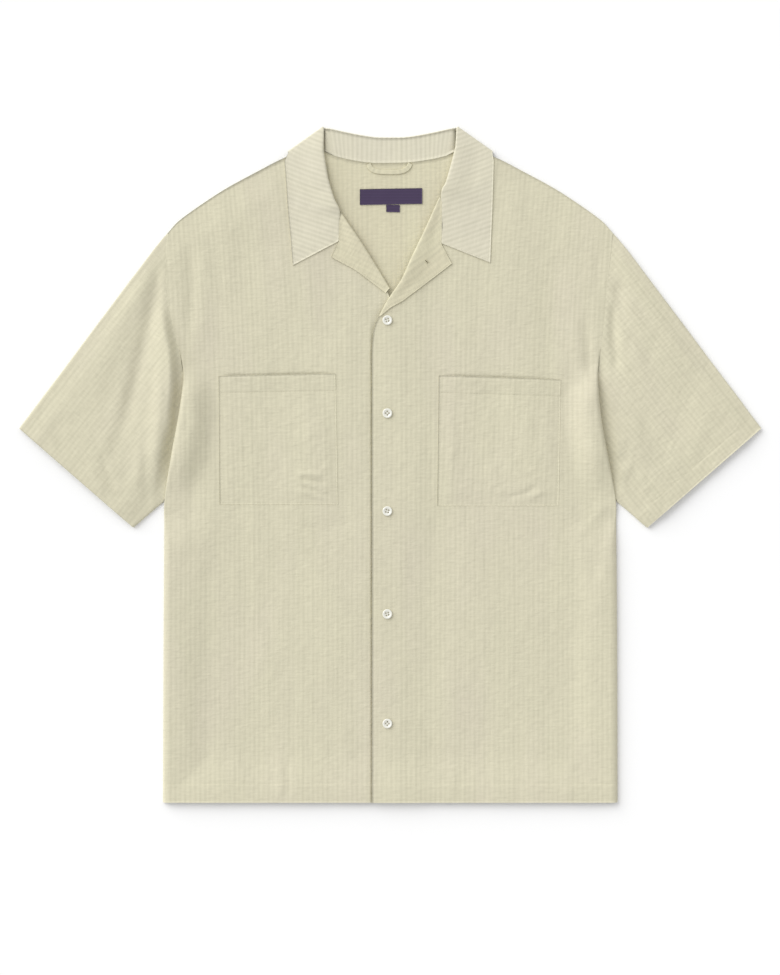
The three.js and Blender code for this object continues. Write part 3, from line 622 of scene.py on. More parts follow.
crinkleCotton = {  # sizes in millimetres: a thread is 0.3, too fine to show, so slubs of 2 stand for it
    "ground": "#d3ceb5", "stripe": "#bfbba3", "light": "#d8d3b9", "blush": "#d3cbb8",
    "pitch": 5.7, "stripeDepth": 0.42, "uneven": 0.45, "weft": 0.16, "warp": 0.1, "mottle": 0.05,
    "crinkleCell": (8, 4.2), "roughness": 0.9, "sheen": 0.12, "bump": 0.36, "deepest": 1.6,
}
cottonMix = {  # how each noise is stretched before it is used
    "wander": (2.4, -1.2), "breaks": (1.4, 0.2), "bands": (0.42, 2.6), "blush": (0.45, 2.4),
    "blushShare": 0.6, "threadRise": 0.25,
}
cottonNoise = {  # cell width and height in millimetres, detail, and a shift that keeps the noises apart
    "wander": (40, 170, 1, 0), "breaks": (4, 30, 2, 5), "bands": (22, 240, 2, 9),
    "blush": (60, 170, 1, 17), "weft": (13, 2.2, 2, 21), "warp": (1.9, 20, 2, 31),
    "mottle": (15, 12, 2, 51),
}


def makeCotton(name, s):
    material, tree = blankMaterial(name)
    uv = node(tree, "UVMap", {"uv_map": "grain"})
    grain = node(tree, "VectorMath", {"operation": "SCALE"}, {0: uv, "Scale": 1 / mm})
    def noise(wide, tall, detail, shift):
        spot = node(tree, "VectorMath", {"operation": "MULTIPLY"}, {0: grain, 1: (1 / wide, 1 / tall, 1)})
        moved = node(tree, "VectorMath", {}, {0: spot, 1: (shift, shift * 1.7, shift)})
        return node(tree, "TexNoise", {}, {"Vector": moved, "Scale": 1.0, "Detail": detail})
    def maths(operation, a, b=0.0, c=0.0):
        return node(tree, "Math", {"operation": operation}, {0: a, 1: b, 2: c})
    def above(value, low, gain):  # how far a noise is above a level, from 0 to 1
        return node(tree, "Clamp", {}, {0: maths("MULTIPLY", maths("SUBTRACT", value, low), gain)})
    cells = {name: noise(*cell) for name, cell in cottonNoise.items()}
    colours = {name: linear(s[name]) for name in ("ground", "stripe", "light", "blush")}
    wander = maths("MULTIPLY_ADD", cells["wander"], *cottonMix["wander"])
    across = maths("DIVIDE", maths("ADD", node(tree, "SeparateXYZ", {}, {0: grain}), wander), s["pitch"])
    oneStripe = node(tree, "TexWhiteNoise", {"noise_dimensions": "1D"}, {"W": maths("FLOOR", across)})
    wave = maths("MULTIPLY_ADD", maths("SINE", maths("MULTIPLY", across, 2 * math.pi)), 0.5, 0.5)
    line = maths("MULTIPLY", wave, maths("MULTIPLY_ADD", oneStripe, s["uneven"], 1 - s["uneven"]))
    broken = maths("MULTIPLY", line, maths("MULTIPLY_ADD", cells["breaks"], *cottonMix["breaks"]))
    light, blush = (above(cells[name], *cottonMix[name]) for name in ("bands", "blush"))
    ground = blend(tree, light, colours["ground"], colours["light"])
    warm = blend(tree, maths("MULTIPLY", blush, cottonMix["blushShare"]), ground, colours["blush"])
    striped = blend(tree, maths("MULTIPLY", broken, s["stripeDepth"]), warm, colours["stripe"])
    tone = 1 - (s["weft"] + s["warp"] + s["mottle"]) / 2
    for name in ("weft", "warp", "mottle"):
        tone = maths("MULTIPLY_ADD", cells[name], s[name], tone)
    shaded = node(tree, "VectorMath", {"operation": "SCALE"}, {0: striped, "Scale": tone})
    crinkle = noise(*s["crinkleCell"], 2, 41)
    threads = maths("ADD", cells["weft"], cells["warp"])
    rise = maths("MULTIPLY_ADD", threads, cottonMix["threadRise"], crinkle)
    bump = node(tree, "Bump", {}, {"Strength": s["bump"], "Distance": s["deepest"] * mm, "Height": rise})
    addShader(tree, {
        "Base Color": shaded, "Normal": bump, "Roughness": s["roughness"],
        "Sheen Weight": s["sheen"], "Sheen Roughness": 0.5, "Specular IOR Level": 0.25,
    })
    return material


bodyCotton = makeCotton("crinkleCottonBody", crinkleCotton)
# Painted light: the collar is the body's cloth, its colours set a little lighter for its brighter look; its
# stripe and crinkle settings are its own
collarCotton = makeCotton("crinkleCottonCollar", {
    **crinkleCotton, "ground": "#dad5c0", "light": "#ded9c2", "blush": "#d9d2c0", "stripe": "#c6c2ad",
    "stripeDepth": 0.6, "uneven": 0.25, "weft": 0.08, "warp": 0.08, "crinkleCell": (12, 9), "bump": 0.25,
})
insideCotton = makeCotton("crinkleCottonInside", {
    **crinkleCotton, "ground": "#d5cfb3", "light": "#d9d4b7", "blush": "#d4ccb5",
})
print("materials made")

# Fronts; the finer runs of rows and columns are low end, high end and count
frontGrid = {
    "rows": 256, "columns": 108, "rollColumns": 7, "foldRows": (97, 110, 20),
    "slotColumns": (0.852, 0.886, 12),
}
bodyLean = {"from": 60, "bend": 0.00018, "spread": (15, 130)}
# How the side edge turns down: hardly at the armhole seam, and as a roll over the folded sleeve
sideTurn = {
    "seamSweep": 0.12, "seamDrop": 0.036, "level": 0.3, "run": (0.3, 10.0), "shares": (0.15, 0.5, 1.0),
    "sink": 0.08, "overBack": 1.2, "least": 0.25,
}


def bodyGrain(side, x, y):  # stripes run up the body and lean outward on the chest
    lean = bodyLean["bend"] * np.maximum(y - bodyLean["from"], 0) ** 2 * smooth(x, *bodyLean["spread"])
    return np.stack([signs[side] * (x - lean), y + 0 * x], -1)


def frontWall(side, innerEdge):
    s, rollColumns = sideTurn, frontGrid["rollColumns"]
    over = lambda y: window(y, underarmY - 4, underarmY + 26, foldTopY - 24, foldTopY + 6)
    sweepAt = lambda y: mix(mix(math.pi / 2, math.pi, over(y)), s["seamSweep"], aboveFold(y))
    def radius(y):  # the turned edge comes down to the sleeve or the back; at the armhole it stays flush
        fromZ = frontLow(side, read(frontSide, "y", y, side) - 3, y) + cloth / 2
        drop = np.maximum(fromZ - mix(s["overBack"], 2 * layer + cloth / 2, besideSleeve(y)), s["least"])
        return mix(drop, s["seamDrop"], aboveFold(y)) / (1 - np.cos(sweepAt(y)))
    def outer(up):
        y = read(frontSide, "along", up, "y")
        reach = np.sin(np.minimum(sweepAt(y), math.pi / 2))
        level = s["level"] * np.maximum(np.cos(sweepAt(y)), 0)
        return read(frontSide, "along", up, side) - (radius(y) + cloth / 2) * reach - level, y
    foot = straight((outer(np.array([0.0]))[0][0], hemY), (innerEdge["x"][0], hemY))
    levels = np.linspace(hemY, frontSide["y"][-1], frontGrid["rows"])
    levels = finer(levels, hemY + hem["body"] - 2, hemY + hem["body"] + 2, 8)
    ups = np.interp(finer(levels, *frontGrid["foldRows"]), frontSide["y"], frontSide["along"])
    acrosses = np.linspace(0, 1, frontGrid["columns"])
    if side == "right":
        acrosses = finer(acrosses, *frontGrid["slotColumns"])
    x, y = patch(outer, lambda up: curve(innerEdge, "along", up), foot,
                 lambda t: curve(shoulder, "share", t), ups, acrosses)
    flatPart = toPoints(x, y, frontLow(side, x, y) + cloth / 2)
    start = flatPart[:, 0]
    out, down = unit(flatPart[:, 0] - flatPart[:, 1]) * [1, 1, 0], np.array([0, 0, -1.0])
    share, r, sweep, seam = (f(start[:, 1])[:, None] for f in (over, radius, sweepAt, aboveFold))
    roll = []
    for k in range(1, rollColumns):
        angle = sweep * k / (rollColumns - 1)
        roll.append(start + out * r * np.sin(angle) + down * r * (1 - np.cos(angle)))
    turnEnd = roll[-1]
    for k in s["shares"]:
        run, sink = mix(*s["run"], share) * k, s["sink"] * k * (1 - seam)
        roll.append(turnEnd + out * np.cos(sweep) * run + down * sink)
    middle = np.concatenate([np.stack(roll[::-1], 1), flatPart], 1)
    grain = bodyGrain(side, middle[..., 0], middle[..., 1])
    middle[..., 0] *= signs[side]
    hemLine = insideEdge(turned(middle[:, len(roll) + 1:-2]), hem["body"], cloth / 2)
    innerX = (-overLapX if side == "right" else overLapX) + 3
    return [wallParts(middle, grain), stitchParts(hemLine[signs[side] * hemLine[:, 0] > innerX])]


def addCloth(name, parts, material, solid):
    piece = makePiece(name, parts, material)
    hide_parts(solid)


for side, edge in (("right", underEdge), ("left", overEdge)):
    addCloth(f"frontPanel_{side}", frontWall(side, edge), bodyCotton, f"front_{side}")
print("fronts made")

# Back: lies flat below, seen through the neck, where it is a little uneven
backGrid = {"rows": 170, "columns": 150}
neckView = {"from": (176, 230), "half": (58, 76), "low": 0.15, "waves": 0.5, "share": 0.35, "seed": 71}


def backWall():
    def sideAt(side):
        def edge(up):
            x, y = curve(backSide, "along", up, side + " y")
            return signs[side] * x, y
        return edge
    def topEdge(across):
        x = mix(-shoulder["x"][0], shoulder["x"][0], across)
        inNeck = np.abs(x) < backNeck["x"][-1]
        return x, np.where(inNeck, read(backNeck, "x", x, "y"), read(shoulder, "x", np.abs(x), "y"))
    levels = np.linspace(hemY, frontSide["y"][-1], backGrid["rows"])
    ups = np.interp(levels, backSide["y"], backSide["along"])
    halfHem = bodySide["right"][0]
    acrosses = np.linspace(0, 1, backGrid["columns"])
    foot = straight((-halfHem, hemY), (halfHem, hemY))
    x, y = patch(sideAt("right"), sideAt("left"), foot, topEdge, ups, acrosses)
    s = neckView
    seen = smooth(y, *s["from"]) * (1 - smooth(np.abs(x), *s["half"]))
    uneven = softFloor(s["low"] + s["waves"] * clothWaves(x, y, s["seed"])) * s["share"]
    return wallParts(toPoints(x, y, backLow(x, y) + cloth / 2 + seen * uneven), np.stack([x, y], -1))


addCloth("backPanel", [backWall()], insideCotton, "back")
print("back made")

# Sleeves: flattened tubes with a folded top edge
sleeveTop = table(
    "share x y",
    (0.00, 259.2, 269.2),
    (0.05, 268.0, 259.2),
    (0.16, 295.0, 224.3),
    (0.60, 371.9, 121.9),
    (1.00, 431.9, 41.9),
)
sleeveUnder = {"start": (264.0, -43.6), "end": (300.9, -74.0)}
sleeveSet = {
    "rows": 104, "columns": 84, "hemRows": (0.905, 0.93, 8), "turn": 5, "topWay": (0.8, 0.6),
    "footDrop": (-1.1, -1.5), "apart": 0.1, "underFree": 1.6, "underFrom": 0.4, "tuckBy": 0.06,
}
sleeveGrainAngle = math.radians(38.5)


def fromCorner(edge, start, end):  # moves an edge so that it runs from one given corner to another
    (x0, x1), (y0, y1) = edge(np.array([0.0, 1.0]))
    def moved(t):
        x, y = edge(t)
        return x + mix(start[0] - x0, end[0] - x1, t), y + mix(start[1] - y0, end[1] - y1, t)
    return moved


def sleeveWall(side):
    s, (topWayX, topWayY) = sleeveSet, sleeveSet["topWay"]
    flatInset = layer / 2 + cloth / 2
    inset = flatInset + loft["edge"] * loft["sleeve"] / 2
    def outer(v):
        x, y = curve(sleeveTop, "share", v)
        inward = mix(flatInset, inset, smooth(v, 0, 0.2))
        return x - topWayX * inward, y - topWayY * inward
    def foot(u):  # the armhole, tucked under the front along the seam
        y = read(armhole, "along", mix(1, armhole["along"][0], u), "y") + mix(*s["footDrop"], u)
        tucked = mix(s["apart"], -armSeam["tuck"], smooth(u, 0, s["tuckBy"]))
        free = read(armhole, "y", y, side) + mix(s["apart"], s["underFree"], smooth(u, s["underFrom"], 1))
        return mix(free, read(frontSide, "y", y, side) + tucked, aboveFold(y)), y
    (startX, startY), (endX, endY) = sleeveUnder["start"], sleeveUnder["end"]
    inner = straight((startX, startY + flatInset), (endX, endY + inset))
    tip = (sleeveTop["x"][-1] - topWayX * inset, sleeveTop["y"][-1] - topWayY * inset)
    top = straight(tip, (endX, endY + inset))
    ends = lambda edge, t: [c[0] for c in edge(np.array([t]))]
    outer = fromCorner(outer, ends(foot, 0.0), ends(top, 0.0))
    inner = fromCorner(inner, ends(foot, 1.0), ends(top, 1.0))
    vs, us = finer(np.linspace(0, 1, s["rows"]), *s["hemRows"]), np.linspace(0, 1, s["columns"])
    x, y = patch(outer, inner, foot, top, vs, us)
    fromHem = (1 - vs)[:, None] * np.hypot(x[-1] - x[0], y[-1] - y[0])[None, :]
    topWall = toPoints(x, y, sleeveLow(side, x, y, us[None, :], fromHem) + cloth / 2)
    lowWall = toPoints(x, y, cloth / 2)[:, ::-1]
    outUnder = unit((topWall[:, -1] - topWall[:, -2]) * [1, 1, 0])
    outTop = unit((topWall[:, 0] - topWall[:, 1]) * [1, 1, 0])
    underTurn = bulge(topWall[:, -1], lowWall[:, 0], outUnder, s["turn"])
    foldTurn = bulge(lowWall[:, -1], topWall[:, 0], outTop, s["turn"])
    middle = np.concatenate([topWall, underTurn, lowWall, foldTurn], 1)
    c, n = math.cos(sleeveGrainAngle), math.sin(sleeveGrainAngle)
    acrossGrain = middle[..., 0] * c + middle[..., 1] * n
    alongGrain = middle[..., 1] * c - middle[..., 0] * n
    below = slice(len(us) + s["turn"], None)
    acrossGrain[:, below] = 2 * acrossGrain[:, :1] - acrossGrain[:, below]
    middle[..., 0] *= signs[side]
    hemLine = insideEdge(middle[:, 1:len(us) - 1].swapaxes(0, 1), hem["sleeve"], cloth / 2)
    return [wallParts(middle, np.stack([acrossGrain, alongGrain], -1), ring=True), stitchParts(hemLine)]


for side in signs:
    addCloth(f"sleevePanel_{side}", sleeveWall(side), bodyCotton, f"sleeve_{side}")
print("sleeves made")

# Collar: flat leaves on the fronts, a fold over each shoulder and the stand across the back
collarFront = {
    "right": table(
        "at seamX seamY rollX rollY outerX outerY",
        (0, 60.3, 259.6, 60.3, 259.6, 113.3, 231.7),
        (1, 59.8, 281, 59.8, 281, 115.6, 262),
        (2, 61.4, 296.3, 59.2, 296.8, 118.2, 288),
        (3, 73.4, 313.5, 64.8, 309.5, 119.8, 309),
        (4, 82.9, 336.3, 72.2, 334, 121.4, 334),
        (5, 86.0, 356, 77.4, 366, 123.0, 353.5),
    ),
    "left": table(
        "at seamX seamY rollX rollY outerX outerY",
        (0, 59.9, 257.0, 59.9, 257.0, 116.2, 234.7),
        (1, 59.8, 290, 59.8, 290, 117.8, 272),
        (2, 61.6, 316.8, 59.7, 317.5, 119.0, 303),
        (3, 70.5, 329.5, 64.2, 328, 119.4, 318),
        (4, 78.4, 341.2, 70.0, 347.5, 119.9, 335),
        (5, 85.0, 357, 75.6, 369.5, 120.4, 354),
    ),
}
collarFold = {"seam": (86.4, 370.0), "roll": (79.7, 392.6), "outer": (119.6, 364.5)}
collarBack = table(
    "at seamX rollX rollY",
    (0, 64.8, 69.9, 391.2),
    (1, 43.4, 43.4, 385.4),
    (2, 19.0, 18.5, 381.4),
    (3, 0.0, 0.0, 380.9),
)
collarSet = {
    "leafStations": 46, "foldStations": 12, "backStations": 40, "stand": 9, "roll": 7, "fall": 30,
    "puff": 2.5, "stitchIn": 2.6, "fallSpread": 1.45, "grainTilt": {"right": 9, "left": 12},
    "rolledFrom": (1.5, 2.4), "standFrom": 2.0, "puffEnd": 0.6, "apart": 0.3, "uneven": 0.25,
    "unevenSize": (28, 34, 5),
}


def leafSections(side, share):  # a leaf, from its point up to the shoulder
    s, rows = collarSet, collarFront[side]
    at = np.linspace(0, rows["at"][-1], s["leafStations"])
    seam, edge, outer = (toPoints(*curve(rows, "at", at, f"{name}X {name}Y"))
                         for name in ("seam", "roll", "outer"))
    rolled = smooth(at, *s["rolledFrom"])
    out = unit(toPoints(-1.0, 0.25 * at / rows["at"][-1]))
    edge = edge - out * ((layer + s["puff"]) / 2 + cloth / 2) * rolled[:, None]
    standEnd, fallStart = edge.copy(), edge.copy()
    low = frontAt(side, edge) + cloth / 2
    fallStart[:, 2] = low + layer + s["puff"] * rolled
    standEnd[:, 2] = np.minimum(mix(low + layer, low, rolled), fallStart[:, 2] - s["apart"])
    fall = mix(fallStart[:, None], outer[:, None], share)
    puff = s["puff"] * rolled[:, None] * (1 - smooth(share[..., 0], 0, s["puffEnd"]))
    uneven = s["uneven"] * ripple(signs[side] * fall[..., 0], fall[..., 1], *s["unevenSize"])
    fall[..., 2] = frontAt(side, fall) + layer + cloth / 2 + puff + uneven
    seam[:, 2] = frontAt(side, seam) + cloth / 2
    return {"seam": seam, "standEnd": standEnd, "fallStart": fallStart, "fall": fall, "out": out}


def foldSections(share):  # over the shoulder, where the sections turn from the front down to the back
    standHalf, fallHalf, middleZ = layer / 2, 1.5 * layer, 1.5 * layer + cloth / 2
    t = np.linspace(0, 1, collarSet["foldStations"] + 2)[1:-1]
    bow, sink = np.sin(math.pi * t)[:, None], np.cos(math.pi * t)
    seam, roll, outer = (np.array([*collarFold[name], 0.0]) for name in ("seam", "roll", "outer"))
    rise = roll - outer
    upward = unit(np.array([rise[1], abs(rise[0]), 0.0]))
    fallShift = toPoints(0, 0, middleZ + fallHalf * sink) + upward * (fallHalf * (bow - 1) - cloth / 2)
    stand = toPoints(standHalf * (bow[:, 0] - 1), 0, middleZ + standHalf * sink)
    return {
        "seam": seam + stand, "standEnd": roll + stand - upward * (fallHalf + cloth / 2) - [0.5, 0, 0],
        "fallStart": roll + fallShift,
        "fall": mix((roll + fallShift)[:, None], (outer + fallShift)[:, None], share),
        "out": unit(toPoints(-0.35 * (1 - t), 1, 0)),
    }


def backSections(side, share):  # behind the neck, from the shoulder to the centre
    at = np.linspace(0, collarBack["at"][-1], collarSet["backStations"])
    seamX, rollX, rollY = curve(collarBack, "at", at, "seamX rollX rollY")
    rollY = rollY - layer / 2 - cloth / 2
    outerX = rollX * mix(collarSet["fallSpread"], 1, at / collarBack["at"][-1])
    fallStart, outer = toPoints(rollX, rollY, cloth / 2), toPoints(outerX, fallEdgeY(outerX), cloth / 2)
    seamY = read(backNeck, "x", signs[side] * seamX, "y") - 0.1
    return {
        "seam": toPoints(seamX, seamY, layer + cloth / 2),
        "standEnd": toPoints(rollX, rollY, layer + cloth / 2),
        "fallStart": fallStart, "fall": mix(fallStart[:, None], outer[:, None], share),
        "out": np.tile([0, 1.0, 0], (len(at), 1)),
    }


def collarHalf(side):
    s, sign = collarSet, signs[side]
    share = np.linspace(0, 1, s["fall"])[None, :, None]
    whole = joined(leafSections(side, share), foldSections(share), backSections(side, share))
    roll = bulge(whole["standEnd"], whole["fallStart"], whole["out"], s["roll"])
    fallGrid = np.concatenate([whole["standEnd"][:, None], roll, whole["fall"]], 1)
    n = s["leafStations"]
    first = int(np.argmax(np.linspace(0, collarFront[side]["at"][-1], n) >= s["standFrom"]))
    standShare = np.linspace(0, 1, s["stand"])[None, :, None]
    standGrid = mix(whole["seam"][first:, None], whole["standEnd"][first:, None], standShare)
    # Stripes run from the seam to the outer edge; on a leaf they tilt by its own few degrees
    step = np.linalg.norm(np.diff(fallGrid, axis=0), axis=-1)
    acrossGrain = np.zeros(fallGrid.shape[:2])
    acrossGrain[:-1] = np.cumsum(step[::-1], axis=0)[::-1]
    tilt = math.radians(s["grainTilt"][side])
    onLeaf = fallGrid[:n, :, 1] * math.cos(tilt) - fallGrid[:n, :, 0] * math.sin(tilt)
    acrossGrain[:n] = acrossGrain[n - 1] + onLeaf[n - 1] - onLeaf
    standAcross = np.repeat(acrossGrain[first:, :1], s["stand"], 1)
    standAlong = -np.linalg.norm(standGrid - standGrid[:, -1:], axis=-1)
    grains = [np.stack([sign * acrossGrain, lengthAlong(fallGrid)], -1),
              np.stack([sign * standAcross, standAlong], -1)]
    for grid in (fallGrid, standGrid):
        grid[..., 0] *= sign
    leafGrid = fallGrid[:n - 2, s["roll"] + 1:]
    stitches = [stitchParts(insideEdge(grid, s["stitchIn"], cloth / 2))
                for grid in (leafGrid[1:], turned(leafGrid)[6:-1])]
    return [fallGrid, standGrid], grains, stitches


def collarWalls():
    (gridsR, grainsR, stitchesR), (gridsL, grainsL, stitchesL) = collarHalf("right"), collarHalf("left")
    joinHalves = lambda a, b: np.concatenate([a, b[::-1][1:]])
    walls = [wallParts(joinHalves(gridsR[k], gridsL[k]), joinHalves(grainsR[k], grainsL[k]))
             for k in (0, 1)]
    return [*walls, *stitchesR, *stitchesL]


addCloth("collarPanel", collarWalls(), collarCotton, "collar")
print("collar made")

# Lapels: the top of each facing, rolled back over its front
lapels = {
    "right": table(
        "at rollX rollY outerX outerY",
        (0, 0.5, 205, 5.5, 199.5),
        (1, 10, 221, 20, 210.6),
        (2, 22, 240.5, 42, 227.0),
        (3, 33.1, 258, 68.4, 241.0),
        (4, 45, 275.5, 59.8, 259.4),
        (5, 56.6, 292.5, 59.3, 284),
    ),
    "left": table(
        "at rollX rollY outerX outerY",
        (0, -13, 173, -9.0, 174.5),
        (1, -5, 188, 0, 182.2),
        (2, 2, 199, 14.9, 190.5),
        (3, 13.3, 216, 40, 209.5),
        (4, 23.5, 238.7, 71.5, 233.6),
        (5, 38.6, 270.3, 59.4, 256.6),
        (6, 51, 297.5, 59.9, 284),
        (7, 57, 311, 59.9, 305),
    ),
}
lapelSet = {
    "puff": 2.1, "puffWidth": (4, 30), "puffEnd": 0.6, "rise": 0.15, "uneven": 0.3,
    "unevenSize": (22, 26, 8), "roll": 7, "fall": 30, "perRow": 9, "stitchIn": 2.6,
}
buttonhole = {
    "side": "left", "x": 40.8, "y": 237.4, "way": (0.67, -0.74), "long": 8.4, "count": 15, "apart": 1.0,
    "slitWide": 1.1, "slitHigh": 0.24, "lift": 0.08,
}
buttonholeThread = {"long": 1.7, "wide": 0.52, "high": 0.5}
slitShadeDark, slitShadeLight = "#4a4230", "#5c5340"  # painted shade: the dark of the unlit cloth below, as seen through the buttonhole's cut
rollWay = np.array([-0.86, 0.5, 0])


def lapelWall(side):
    rows, s, sign = lapels[side], lapelSet, signs[side]
    last = len(rows["at"]) - 1
    at = np.linspace(0, last, last * s["perRow"] + 1)
    roll = toPoints(*curve(rows, "at", at, "rollX rollY"))
    outer = toPoints(*(np.interp(at, rows["at"], rows[name]) for name in ("outerX", "outerY")))
    puff = (s["puff"] * smooth(np.linalg.norm(roll - outer, axis=-1), *s["puffWidth"]))[:, None]
    edge = roll - rollWay * ((layer + puff) / 2 + cloth / 2)
    standEnd, fallStart = edge.copy(), edge.copy()
    standEnd[:, 2] = frontAt(side, edge) + cloth / 2
    fallStart[:, 2] = standEnd[:, 2] + layer + s["rise"] + puff[:, 0]
    share = np.linspace(0, 1, s["fall"])[None, :, None]
    fall = mix(fallStart[:, None], outer[:, None], share)
    uneven = softFloor(0.2 + 0.6 * ripple(sign * fall[..., 0], fall[..., 1], *s["unevenSize"]))
    uneven = s["uneven"] * uneven * smooth(share[..., 0], 0, 0.2)
    puffed = puff * (1 - smooth(share[..., 0], 0, s["puffEnd"]))
    fall[..., 2] = frontAt(side, fall) + layer + cloth / 2 + s["rise"] + puffed + uneven
    out = np.tile(unit(rollWay), (len(at), 1))
    seam = standEnd + rollWay * 0.2
    middle = np.concatenate([seam[:, None], bulge(standEnd, fallStart, out, s["roll"]), fall], 1)
    away = (middle - roll[:, None]) @ unit(rollWay)
    unfolded = middle - 2 * away[..., None] * unit(rollWay)
    middle[..., 0] *= sign
    parts = [wallParts(middle, np.stack([sign * unfolded[..., 0], unfolded[..., 1]], -1)),
             stitchParts(insideEdge(middle[3:-3, -s["fall"]:], s["stitchIn"], cloth / 2))]
    return parts + ([buttonholeParts(middle[:, -s["fall"]:])] if side == buttonhole["side"] else [])


# Painted shade for the buttonhole's cut: two dark tones mixed by a fine noise
def makeSlitShade(name):
    material, tree = blankMaterial(name)
    weave = node(tree, "TexNoise", {}, {"Scale": 2500.0})
    dark = blend(tree, weave, linear(slitShadeDark), linear(slitShadeLight))
    addShader(tree, {"Base Color": dark, "Roughness": 1.0, "Specular IOR Level": 0.0})
    return material


def buttonholeParts(middle):  # a row of close threads along each side of the slit
    b = buttonhole
    way, share = np.array([*b["way"], 0]), np.linspace(-0.5, 0.5, b["count"])[:, None]
    cross = np.array([-way[1], way[0], 0])
    centre = np.array([b["x"], b["y"], 0])
    near = middle.reshape(-1, 3)
    nearest = np.argmin(np.hypot(*(near - centre)[:, :2].T))
    centre[2] = near[nearest, 2] + cloth / 2 + b["lift"]
    # The slit is painted shade: a thin dark strip laid just above the lapel, where the cut would show the
    # unlit cloth below
    size = {"long": b["long"], "wide": b["slitWide"], "high": b["slitHigh"]}
    slit = threadParts(centre[None], way[None], size)
    makePiece("buttonholeSlitShade", [slit], makeSlitShade("shadedButtonholeSlit"))
    places = np.concatenate([centre + way * share * b["long"] + cross * sign * b["apart"]
                             for sign in (-1, 1)])
    return threadParts(places, np.tile(cross, (len(places), 1)), buttonholeThread)


for side in signs:
    addCloth(f"lapel_{side}", lapelWall(side), insideCotton, f"facing_{side}")
print("lapels made")

# Patch pockets, made from the points of the front below them
pocketSet = {
    "rows": 78, "columns": 72, "hemRows": (0.86, 0.885, 8), "puff": 0.9, "puffFrom": 0.12, "thick": 0.32,
    "gap": 0.01, "mouth": 0.9, "mouthFrom": 0.86, "mouthEnds": 0.2, "stitchIn": 1.8,
}


def pocketWall(side):
    p, s = pockets[side], pocketSet
    topOut, topIn, footOut, footIn = (p[name] for name in ("topOut", "topIn", "footOut", "footIn"))
    ups, acrosses = finer(np.linspace(0, 1, s["rows"]), *s["hemRows"]), np.linspace(0, 1, s["columns"])
    x, y = patch(straight(footOut, topOut), straight(footIn, topIn), straight(footOut, footIn),
                 straight(topOut, topIn), ups, acrosses)
    up, fromEnd = ups[:, None], np.minimum(acrosses, 1 - acrosses)[None, :]
    sewn = smooth(fromEnd, 0, s["puffFrom"]) * smooth(up, 0, s["puffFrom"])
    waves = softFloor(s["puff"] + clothWaves(signs[side] * x, y, seeds[side] + 7)
                      + creaseHeight(creases[f"pocket_{side}"], x, y))
    relief = hemRelief((1 - up) * (topIn[1] - footIn[1]) + 0 * x, hem["pocket"])
    opened = s["mouth"] * smooth(up, s["mouthFrom"], 1) * smooth(fromEnd, 0, s["mouthEnds"])
    z = frontLow(side, x, y) + cloth + s["gap"] + s["thick"] / 2 + sewn * waves + relief + opened
    tilt = (topOut[1] - topIn[1]) / (topOut[0] - topIn[0])
    grain = np.stack([signs[side] * (x + tilt * y) + 1.7, y], -1)
    middle = toPoints(signs[side] * x, y, z)
    edges = [middle, middle[:, ::-1], turned(middle)[1:-1]]
    lines = [insideEdge(edge, s["stitchIn"], s["thick"] / 2) for edge in edges]
    lines.append(insideEdge(middle.swapaxes(0, 1)[1:-1], hem["pocket"], s["thick"] / 2))
    return [wallParts(middle, grain, s["thick"]), *[stitchParts(line) for line in lines]]


for side in signs:
    addCloth(f"patchPocket_{side}", pocketWall(side), bodyCotton, f"pocket_{side}")
print("pockets made")

# Neck label and size tab: bare woven satin, so they shine along the weave
labelSatin = {
    "ground": "#352744", "thread": "#443357", "ribs": 0.9, "weaveScale": 900, "bump": 0.25,
    "deepest": 0.2, "roughness": 0.42, "sheen": 0.3,
}


def makeSatin(name, s):
    material, tree = blankMaterial(name)
    uv = node(tree, "UVMap", {"uv_map": "grain"})
    ribs = node(tree, "TexWave", {"bands_direction": "Y"}, {
        "Vector": uv, "Scale": 1 / (s["ribs"] * mm * 6.2832), "Distortion": 0.6})
    weave = node(tree, "TexNoise", {}, {"Vector": uv, "Scale": s["weaveScale"], "Detail": 2.0})
    bump = {"Strength": s["bump"], "Distance": s["deepest"] * mm, "Height": weave}
    addShader(tree, {
        "Base Color": blend(tree, ribs.outputs[1], linear(s["ground"]), linear(s["thread"])),
        "Normal": node(tree, "Bump", {}, bump), "Roughness": s["roughness"],
        "Sheen Weight": s["sheen"], "Specular IOR Level": 0.4,
    })
    return material


satin = makeSatin("wovenSatinLabel", labelSatin)
labelWeave = {"thick": 0.6, "askew": 0.018, "askewOver": 30, "uneven": 0.12, "unevenSize": (18, 12, 3)}


def patchOnBack(x, y, wide, high, lift, columns, rows):  # a flat rectangle, the wider one askew
    across, up = np.meshgrid(np.linspace(-0.5, 0.5, columns), np.linspace(-0.5, 0.5, rows))
    s = labelWeave
    px = x + wide * across
    py = y + high * up + s["askew"] * wide * across * np.sign(wide - s["askewOver"])
    uneven = s["uneven"] * ripple(px, py, *s["unevenSize"])
    z = backLow(px, py) + cloth + lift + s["thick"] / 2 + uneven
    return wallParts(toPoints(px, py, z), np.stack([px, py], -1), s["thick"])


labels = {  # centre, width and height, lift off the back, columns and rows; and the length tucked away
    "label": {"at": (0.9, 311.9, 72.6, 18.2, 0.55, 60, 18), "tucked": 0.0},
    "size_tab": {"at": (3.2, 298.0, 15.8, 8.4, 0.45, 16, 10), "tucked": 2.6},
}
for name, s in labels.items():
    piece = makePiece(f"woven_{name}", [patchOnBack(*s["at"])], satin)
    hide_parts(name)
print("label made")

